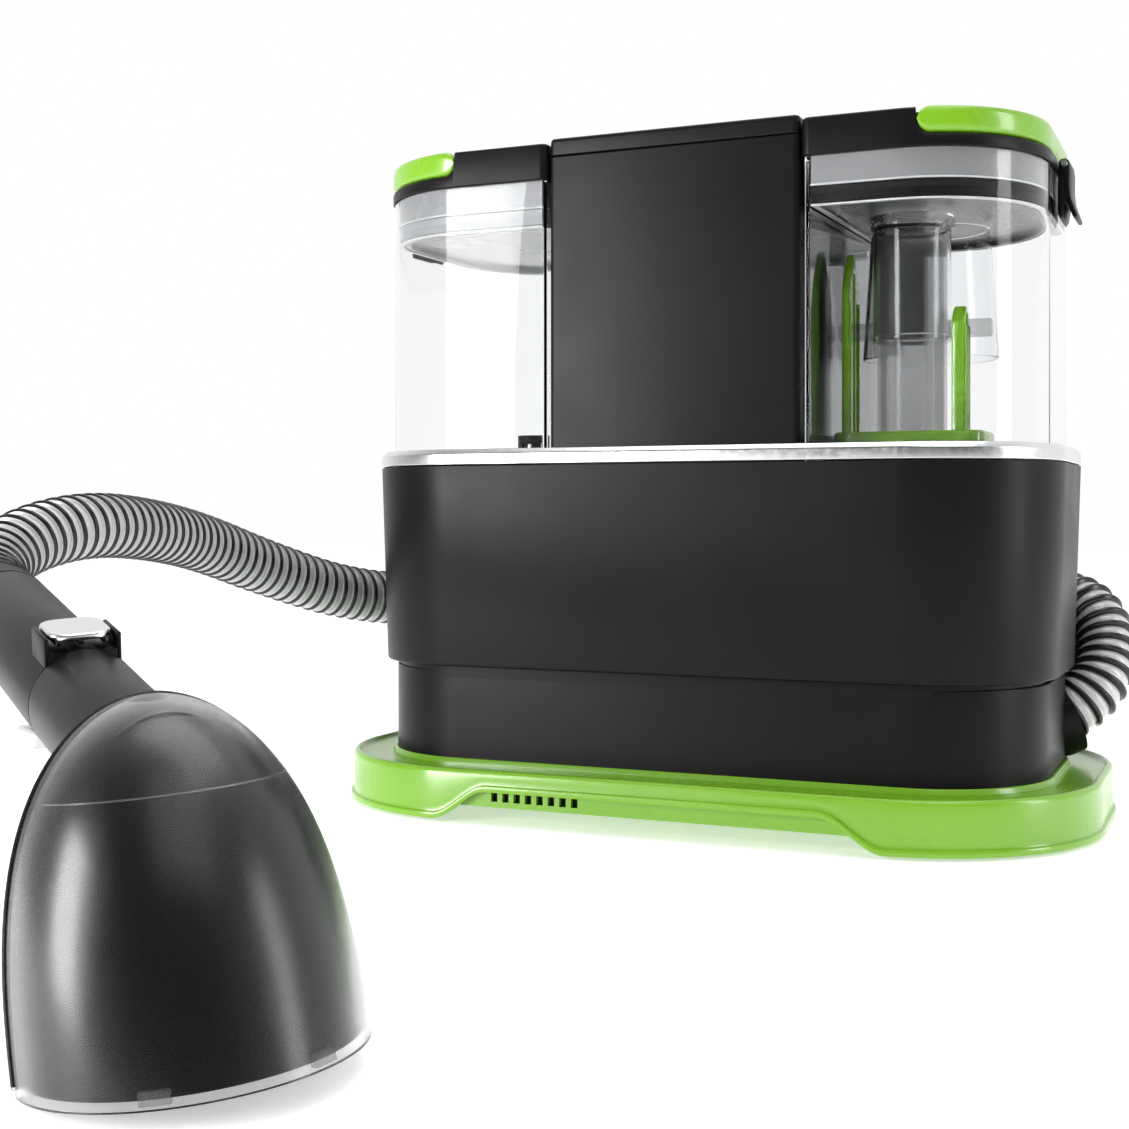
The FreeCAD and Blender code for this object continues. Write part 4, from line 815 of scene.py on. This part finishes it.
def build_bail(side, name):
    """The green carrying bail, folded down round a lid's outer end."""
    shape = TANKS[name]
    pivot = BAIL_PIVOT[name]
    stops = [pivot - BAIL_HALF * math.cos(math.pi / 2 * k / 12) for k in range(0, 13)]
    middle_out = LID_GROW - BAIL_DEEP / 2 + 0.1
    layers = []
    for k in range(32):
        angle = 2 * math.pi * k / 32
        wide = math.copysign(abs(math.cos(angle)) ** 0.5, math.cos(angle))
        high = math.copysign(abs(math.sin(angle)) ** 0.6, math.sin(angle))
        layer = outline(shape, -(middle_out + wide * (BAIL_DEEP / 2 - 0.2)), stops, 36)
        layers.append((layer, high * BAIL_HALF))
    rings = []
    for number, (x, y) in enumerate(outline(shape, 0.0, stops, 36)):
        if x < pivot - BAIL_HALF - 1e-6:
            continue
        share = math.sqrt(max(1 - (max(pivot - x, 0.0) / BAIL_HALF) ** 2, 0.0))
        ring = []
        for layer, high in layers:
            px, py = layer[number]
            if px < pivot + 7.0:
                py = math.copysign(max(abs(py), BAIL_INNER[name]), py)
            ring.append(side_point(side, px, py, BAIL_MID + high * max(share, 0.02)))
        rings.append(ring)
    node = name + "_handle"
    bail = make_piece(name + "_bail", skin(rings), ["green"], node, [node], sharp=50.0)


def build_latch(side, name):
    """The clip under a lid's outer end: a bent blade with a finger lip, hung from the lid's ears."""
    outer = [(106.6, 320.6), (107.6, 322.0), (109.6, 322.3), (111.2, 321.2), (111.8, 317.0), (111.7, 309.0),
             (112.3, 303.0), (114.2, 297.6), (115.2, 294.8), (114.8, 293.4), (113.4, 293.7), (111.8, 297.2),
             (110.6, 301.4), (109.7, 300.6), (108.8, 295.0), (107.4, 292.8), (106.3, 295.6), (106.1, 304.0),
             (106.2, 314.0)]
    half = 12.6
    rings = []
    for y, shrink in ((-half, 0.7), (-half + 0.3, 0.25), (-half + 0.9, 0.0), (half - 0.9, 0.0),
                      (half - 0.3, 0.25), (half, 0.7)):
        ring = []
        for k, (x, z) in enumerate(outer):
            before = Vector(outer[k - 1])
            after = Vector(outer[(k + 1) % len(outer)])
            inward = Vector((-(after - before).y, (after - before).x)).normalized()
            ring.append(side_point(side, x - inward.x * shrink, y, z - inward.y * shrink))
        rings.append(ring)
    node = name + "_latch"
    latch = make_piece(name + "_clip", skin(rings), ["black"], node, [node], sharp=35.0)


def build_plate(side, name, band_look, seal_look, floor_look):
    """The insert under a lid: a band, the seal in its groove between two lips whose near-white colour is a
    painted highlight along the groove's edges, and its floor.
    """
    shape = TANKS[name]
    place = lambda x, y, z: side_point(side, x, y, z)
    inset = -3.0
    seal_low = PLATE_LOW + 1.8
    seal_high = PLATE_LOW + 9.4
    node = name + "_lid_plate"
    body = name + "_lid"
    path = soften([(inset - 3.0, seal_high + 0.9, 0), (inset, seal_high + 0.9, 0.3),
                   (inset, LID_LOW - 0.1, 0.3), (inset - 3.0, LID_LOW - 0.1, 0)])
    band = make_piece(name + "_insert_band", skin(sweep(shape, path, place=place, steps=36), loop=True),
                      [band_look], body, [node])
    lips = []
    for low, out in ((PLATE_LOW, 0.2), (seal_high, 0.35)):
        path = soften([(inset - 2.4, low, 0), (inset + out, low, 0.4), (inset + out, low + 0.95, 0.4),
                       (inset - 2.4, low + 0.95, 0)])
        lips.append(skin(sweep(shape, path, place=place, steps=36), loop=True))
    # the lips take the near-white material, a painted highlight along the groove's edges
    piece = make_piece(name + "_insert_lips", join_meshes(lips), ["lip"], body)
    waist = (seal_low + seal_high) / 2
    path = soften([(inset - 2.6, seal_low - 0.6, 0), (inset + 0.4, seal_low - 0.6, 0.8),
                   (inset - 0.3, waist, 0.8),
                   (inset + 0.4, seal_high - 0.2, 0.8), (inset - 2.6, seal_high - 0.2, 0)])
    seal = make_piece(name + "_seal", skin(sweep(shape, path, place=place, steps=36), loop=True),
                      [seal_look], body, [name + "_lid_seal"])
    path = soften([(inset - 4.0, seal_high, 0), (inset - 2.7, seal_high, 0.3),
                   (inset - 2.7, PLATE_LOW + 0.3, 0.6),
                   (inset - 5.5, PLATE_LOW + 0.3, 0.6), (inset - 7.0, PLATE_LOW + 2.6, 1.5),
                   (inset - 12.0, PLATE_LOW + 3.4, 0)])
    floor = make_piece(name + "_insert_floor", skin(sweep(shape, path, place=place, steps=36)),
                       [floor_look], body)


def build_inner_parts():
    """Inside the dirty tank: standpipe, sleeve with its pins, splash cone, float."""
    path = soften([(PIPE_RADIUS - 1.6, TANK_LOW + 2.4, 0), (PIPE_RADIUS + 2.4, TANK_LOW + 2.4, 0.5),
                   (PIPE_RADIUS, TANK_LOW + 6.0, 1.0), (PIPE_RADIUS, corner("standpipe", 1).z, 0.5),
                   (PIPE_RADIUS - 1.6, corner("standpipe", 1).z, 0.5),
                   (PIPE_RADIUS - 1.6, TANK_LOW + 2.4, 0)])
    rings = turned_upright(path[:-1], PIPE, 96)
    pipe = make_piece("suction_standpipe", skin(rings, loop=True), ["smoke"], "dirty_tank", ["standpipe"])

    sleeve_radius = PIPE_RADIUS + 1.8
    path = soften([(sleeve_radius - 1.4, SLEEVE_LOW, 0), (sleeve_radius + 0.5, SLEEVE_LOW, 0.3),
                   (sleeve_radius + 0.5, SLEEVE_LOW + 2.0, 0.4), (sleeve_radius, SLEEVE_LOW + 2.6, 0.3),
                   (sleeve_radius, PLATE_LOW - 7.0, 0.5), (sleeve_radius + 1.6, PLATE_LOW - 5.6, 0.5),
                   (sleeve_radius + 1.6, PLATE_LOW - 0.2, 0), (sleeve_radius - 1.4, PLATE_LOW - 0.2, 0)])
    rings = turned_upright(path, PIPE, 96)
    shell = skin(rings, loop=True)
    pins = []
    pin_z = SLEEVE_LOW + 5.5
    for sign, reach in ((-1, 35.4), (1, 38.0)):
        path = soften([(0.02, sleeve_radius - 0.4, 0), (4.4, sleeve_radius - 0.4, 0),
                       (4.4, reach - 0.6, 0.8), (3.4, reach, 0.4), (0.02, reach, 0)])
        rings = turned(path, lambda a, b, s, sign=sign: Vector((PIPE.x + sign * s, PIPE.y + a, pin_z + b)),
                       24)
        pins.append(skin(rings))
    sleeve = make_piece("separator_tube", shell, ["haze_clear"], "dirty_lid", ["separator_sleeve"])
    pegs = make_piece("sleeve_pins", join_meshes(pins), ["smoke"], "dirty_lid")

    path = soften([(32.6, CONE_LOW, 0), (34.0, CONE_LOW, 0.6), (29.6, PLATE_LOW - 0.4, 0),
                   (28.2, PLATE_LOW - 0.4, 0)])
    rings = []
    for radius, height in path:
        ring = []
        for k in range(64):
            angle = 2 * math.pi * k / 64
            x, y = CONE_X + radius * math.cos(angle), CONE_Y + radius * math.sin(angle)
            away = Vector((x - PIPE.x, y - PIPE.y))
            clearance = sleeve_radius + 1.2
            if away.length < clearance:
                away = away.normalized() * clearance
            ring.append((PIPE.x + away.x, PIPE.y + away.y, height))
        rings.append(ring)
    cone = make_piece("splash_skirt", skin(rings, loop=True), ["clear"], "dirty_lid", ["splash_cone"])
    build_float(pin_z)


def upright(x_low, x_high, y_mid, half, low, high, tip):
    """A float upright: a blade with a pointed arch on top and three rails down one face."""

    def arch_line(inset):
        points = [(y_mid - half + inset, low), (y_mid + half - inset, low)]
        for k in range(10):
            t = k / 9
            points.append((y_mid + (half - inset) * (1 - t ** 1.8), high - tip + (tip - inset) * t ** 0.8))
        for k in range(8, -1, -1):
            t = k / 9
            points.append((y_mid - (half - inset) * (1 - t ** 1.8), high - tip + (tip - inset) * t ** 0.8))
        return points

    layers = [(x_low, 0.8), (x_low + 0.2, 0.3), (x_low + 0.7, 0.0), (x_high - 1.5, 0.0), (x_high - 1.0, 0.3),
              (x_high - 0.8, 0.8)]
    blade = skin([[(x, y, z) for y, z in arch_line(inset)] for x, inset in layers])
    rails = []
    for y in (y_mid - half * 0.78, y_mid, y_mid + half * 0.78):
        top = high - tip * (0.9 if y != y_mid else 0.35)
        rings = []
        for x, shrink in ((x_high - 1.2, 0.0), (x_high - 0.2, 0.0), (x_high, 0.25)):
            reach = 0.55 - shrink
            rings.append([(x, y - reach, low + 1.0), (x, y + reach, low + 1.0), (x, y + reach, top - shrink),
                          (x, y - reach, top - shrink)])
        rails.append(skin(rings))
    return join_meshes([blade] + rails)


def build_float(pin_z):
    low, high = corner("float", 0), corner("float", 1)
    foot = (-(low.x - PIPE.x), high.x - PIPE.x, (high.y - low.y) / 2, 9.0, 9.0)
    mid_y = (low.y + high.y) / 2
    base = [(-9.0, FLOAT_LOW, 0), (-0.6, FLOAT_LOW, 0.6), (0, FLOAT_LOW + 0.8, 0.4),
            (0, FLOAT_LOW + 5.0, 0.6),
            (-1.0, FLOAT_LOW + 6.0, 0.6), (-2.6, FLOAT_LOW + 6.0, 0.3), (-3.0, FLOAT_LOW + 5.2, 0.3),
            (-9.0, FLOAT_LOW + 5.0, 0)]
    hole = PIPE_RADIUS + 2.4
    rings = sweep(foot, soften(base), place=lambda x, y, z: (PIPE.x + x, mid_y + y, z), steps=10)
    count = len(rings[0])

    def pipe_ring(height):
        ring = []
        for x, y, z in rings[0]:
            away = Vector((x - PIPE.x, y - PIPE.y)).normalized() * hole
            ring.append((PIPE.x + away.x, PIPE.y + away.y, height))
        return ring

    plate = skin([pipe_ring(FLOAT_LOW)] + rings + [pipe_ring(FLOAT_LOW + 5.0)], loop=True)
    left = upright(PIPE.x - 31.7, PIPE.x - 27.3, PIPE.y - 1.0, 11.0, FLOAT_LOW + 4.6, FLOAT_HIGH, 26.0)
    right = upright(PIPE.x + 20.6, PIPE.x + 27.4, PIPE.y - 4.0, 7.0, FLOAT_LOW + 4.6, FLOAT_LOW + 65.0, 10.0)
    piece = make_piece("float_frame", join_meshes([plate, left, right]), ["green"], "float", ["float"],
                       sharp=35.0)


# ------------------------------------------------------------------ hand tool

MOUTH_HALF, MOUTH_FRONT, MOUTH_BACK = 47.7, 47.8, 8.2
NOZZLE_HIGH, NOZZLE_LEAN, DOME_POWER = 99.2, 18.25, 2.66


def dome_point(level, angle, inward=0.0):
    """A point of the nozzle's dome; the angle is 0 at its right edge, 90 in front and 180 at its left."""
    share = math.sqrt(max(1 - level ** DOME_POWER, 0.0))
    half = max(MOUTH_HALF * share - inward, 0.0)
    front = max(MOUTH_FRONT * share - inward, 0.0)
    back = max(MOUTH_BACK * share - inward * 0.3, 0.0)
    reach = -front if math.sin(angle) >= 0 else back
    height = level * (NOZZLE_HIGH - inward * (1.0 if level > 0.5 else 0.0) * (level - 0.5) * 2)
    return half * math.cos(angle), NOZZLE_LEAN * level + reach * abs(math.sin(angle)), height


def dome_sheet(inward, low, high, first, last, rows, columns):
    """A grid of points over part of the dome; levels bunch towards the crown."""
    grid = []
    for row in range(rows + 1):
        t = row / rows
        level = low + (high - low) * math.sin(math.pi / 2 * t)
        grid.append([dome_point(level, math.radians(first + (last - first) * k / columns), inward)
                     for k in range(columns + 1)])
    return grid


def sheet_solid(outer, inner):
    """A closed shell between two grids of points."""
    rows, columns = len(outer), len(outer[0])
    verts = [p for row in outer for p in row] + [p for row in inner for p in row]
    shift = rows * columns
    faces = []
    for r in range(rows - 1):
        for c in range(columns - 1):
            first = r * columns + c
            face = (first, first + 1, first + columns + 1, first + columns)
            faces.append(face)
            faces.append(tuple(shift + point for point in reversed(face)))
    border = [(0, c) for c in range(columns)] + [(r, columns - 1) for r in range(1, rows)]
    border += [(rows - 1, c) for c in range(columns - 2, -1, -1)] + [(r, 0) for r in range(rows - 2, 0, -1)]
    loop = [r * columns + c for r, c in border]
    for here, after in zip(loop, loop[1:] + loop[:1]):
        faces.append((here, shift + here, shift + after, after))
    return verts, faces


def in_tool(mesh):
    verts, faces = mesh
    return [tool_point(*v) for v in verts], faces


def bead_along(points, radius, count=10):
    """A round bead along a line of tool-frame points."""
    rings = []
    for k, point in enumerate(points):
        before = Vector(points[max(k - 1, 0)])
        after = Vector(points[min(k + 1, len(points) - 1)])
        tangent = (after - before).normalized()
        side = tangent.cross(Vector((0, 1, 0.2))).normalized()
        over = tangent.cross(side)
        turns = [2 * math.pi * j / count for j in range(count)]
        rings.append([Vector(point) + (side * math.cos(turn) + over * math.sin(turn)) * radius
                      for turn in turns])
    return skin(rings)


def rim_line(inward, low, back, steps=60):
    """The line round the cover's edge, from its left foot over the crown to its right foot."""
    points = []
    for k in range(steps + 1):
        t = abs(2 * k / steps - 1)
        level = low + (1 - low) * math.sin(math.pi / 2 * (1 - t))
        angle = math.pi if k < steps / 2 else 0.0
        x, y, z = dome_point(level, angle, inward)
        points.append((x, y + back, z))
    return points


def build_nozzle():
    outer = dome_sheet(0.0, 0.0, 1.0, 0, 180, 56, 72)
    inner = dome_sheet(2.0, 0.0, 0.985, 0, 180, 56, 72)
    cover = make_piece("nozzle_window", in_tool(sheet_solid(outer, inner)), ["window"], "nozzle",
                       ["nozzle_cover"], sharp=60.0)
    arc = [dome_point(0.74, math.radians(18 + 146 * k / 60), -0.05) for k in range(61)]
    beads = join_meshes([bead_along(rim_line(0.6, 0.017, 1.2), 1.3), bead_along(arc, 0.22, 8)])
    rim = make_piece("window_rim", in_tool(beads), ["window"], "nozzle")

    front = dome_sheet(3.0, 0.02, 0.99, 0, 180, 56, 72)
    front_inner = dome_sheet(5.0, 0.02, 0.955, 0, 180, 56, 72)
    core = in_tool(sheet_solid(front, front_inner))
    back = dome_sheet(0.4, 0.02, 1.0, 180, 360, 40, 40)
    back_inner = dome_sheet(2.4, 0.02, 0.97, 180, 360, 40, 40)
    rear = in_tool(sheet_solid(back, back_inner))
    flange = in_tool(bead_along(rim_line(1.2, 0.02, 3.6), 1.7))
    body = make_piece("nozzle_shell", join_meshes([core, rear, flange]), ["black"], "nozzle",
                      ["nozzle_body"], sharp=50.0)
    build_neck()
    build_tabs()


def build_neck():
    """The tube from the nozzle's back up to the seam, with a flare where it leaves the dome."""
    path = soften([(TUBE_RADIUS - 2.4, -96.0, 0), (TUBE_RADIUS + 4.0, -96.0, 0), (TUBE_RADIUS, -62.0, 18.0),
                   (TUBE_RADIUS, -0.2, 0.5), (TUBE_RADIUS - 3.0, -0.2, 0), (TUBE_RADIUS - 3.0, 26.0, 0.6),
                   (TUBE_RADIUS - 5.4, 26.0, 0)], 8)
    rings = turned_on_tube(path, 56)
    neck = make_piece("nozzle_neck", skin(rings), ["black"], "nozzle", sharp=40.0)


def build_tabs():
    """The small clips along the window's front lip."""
    meshes = []
    for degrees in (62.0, 118.0):
        for_rings = []
        for shift in (-5.0, -4.4, 4.4, 5.0):
            angle = math.radians(degrees + shift)
            soft = 0.6 if abs(shift) > 4.7 else 0.0
            ring = []
            for inward, level in ((-0.2 + soft, 0.012), (-0.2 + soft, 0.045), (2.4, 0.045), (2.4, 0.012)):
                ring.append(tool_point(*dome_point(level, angle, inward)))
            for_rings.append(ring)
        meshes.append(skin(for_rings))
    tabs = make_piece("window_clips", join_meshes(meshes), ["smoke"], "nozzle")


def box_rings(x_range, y_range, z_range, soft, steps=3):
    """A rounded block in the tube's frame as rings along the tube: x across, y up, z along."""
    x0, x1 = x_range
    y0, y1 = y_range
    z0, z1 = z_range
    rings = []
    for along, shrink in ((z0, soft), (z0 + soft * 0.3, soft * 0.3), (z0 + soft, 0.0), (z1 - soft, 0.0),
                          (z1 - soft * 0.3, soft * 0.3), (z1, soft)):
        corners = round_box(x0 + soft, x1 - soft, y0 + soft, y1 - soft, soft - shrink * 0.999, steps)
        rings.append([tube_point(along, x, y) for x, y in corners])
    return rings


def build_handle():
    groove = HANDLE_LENGTH - 6.0
    path = soften([(TUBE_RADIUS - 2.4, 0.3, 0), (TUBE_RADIUS, 0.3, 0.5), (TUBE_RADIUS, groove, 0.3),
                   (TUBE_RADIUS - 0.8, groove + 0.4, 0.2), (TUBE_RADIUS - 0.8, groove + 1.2, 0.2),
                   (TUBE_RADIUS, groove + 1.6, 0.3), (TUBE_RADIUS, HANDLE_LENGTH, 0.7),
                   (TUBE_RADIUS - 2.4, HANDLE_LENGTH, 0)])
    rings = turned_on_tube(path, 64)
    barrel = skin(rings, loop=True)
    # two cheeks and a bridge round the release button, and two ears for the trigger
    blocks = [((-12.6, -10.9), (6.0, 22.8), (0.3, 20.0)), ((10.9, 12.6), (6.0, 22.8), (0.3, 20.0)),
              ((-11.4, 11.4), (12.0, 17.6), (0.3, 22.0)), ((-7.0, -4.6), (-23.4, -12.0), (61.0, 72.0)),
              ((4.6, 7.0), (-23.4, -12.0), (61.0, 72.0))]
    meshes = [barrel] + [skin(box_rings(*block, 0.8)) for block in blocks]
    handle = make_piece("handle_shell", join_meshes(meshes), ["black"], "machine", ["tool_handle"],
                        sharp=35.0)

    half, start, end, turn = 10.4, 0.4, 24.0, 6.5
    plate = round_box(turn - half, half - turn, start + turn, end - turn, turn, 8)
    rings = [[tube_point(along, across, up) for across, along, up in layer]
             for layer in slab_mesh(plate, 21.0, 23.4, 1.1, 4)]
    cap = skin(rings)
    posts = [skin(box_rings((x - 1.0, x + 1.0), (19.4, 21.4), (1.6, 20.0), 0.5)) for x in (-7.6, 0.0, 7.6)]
    button = make_piece("release_plate", cap, ["silver"], "release_button", ["release_button"])
    stem = make_piece("release_stem", join_meshes(posts), ["piano"], "release_button")

    pad = []
    for along, shrink in ((39.0, 1.6), (39.5, 0.7), (40.6, 0.0), (50.0, 0.0), (59.0, 0.0), (66.4, 0.0),
                          (67.5, 0.7), (68.0, 1.6)):
        low = -26.8 - 0.2 * (along - 39.0)
        corners = round_box(-8.0, 8.0, low + 2.0, low + 4.6, 2.0 - shrink, 5)
        pad.append([tube_point(along, x, y) for x, y in corners])
    meshes = [skin(pad),
              skin(box_rings((-3.9, 3.9), (-25.0, -17.2), (43.4, 63.8), 1.0)),
              skin(box_rings((-3.9, 3.9), (-22.8, -17.2), (62.0, 69.2), 1.2))]
    trigger = make_piece("trigger_lever", join_meshes(meshes), ["pale"], "trigger", ["trigger"])


# ------------------------------------------------------------------ CAD nodes that stay, in new materials

KEPT = {
    "base_pan": "green", "rubber_feet": "rubber", "base_screws": "steel", "tank_deck": "black",
    "power_switch": "grip", "motor_bracket": "steel", "motor_can": "alloy", "motor_rotor": "steel",
    "motor_gasket": "rubber", "fan_shroud": "grip", "suction_impeller": "alloy", "air_duct": "grip",
    "pump_body": "grip", "pump_piston": "steel", "pump_spring": "steel", "pump_feed_tube": "smoke",
    "clean_valve_body": "rubber", "clean_valve_plunger": "steel", "clean_valve_spring": "steel",
    "clean_latch_pin": "steel", "dirty_latch_pin": "steel", "air_channel": "clear", "hose_duct": "grip",
    "hose_port": "black", "cord_gland": "rubber", "hose_hooks": "grip", "trigger_pin": "steel",
    "spray_tip": "brass",
}


def dress_kept_nodes():
    for node, look in KEPT.items():
        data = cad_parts[node].data
        data.materials.clear()
        data.materials.append(looks[look])


looks = {}
build_camera()
looks.update(build_materials())
build_hose()
build_stage()
build_base()
build_body()
build_column()
for which, label in ((-1, "clean"), (1, "dirty")):
    build_tank(which, label)
    build_lid(which, label)
    build_bail(which, label)
    build_latch(which, label)
build_plate(-1, "clean", "frost", "pale", "pale")
build_plate(1, "dirty", "haze", "rubber", "shade")
build_inner_parts()
build_nozzle()
build_handle()
dress_kept_nodes()
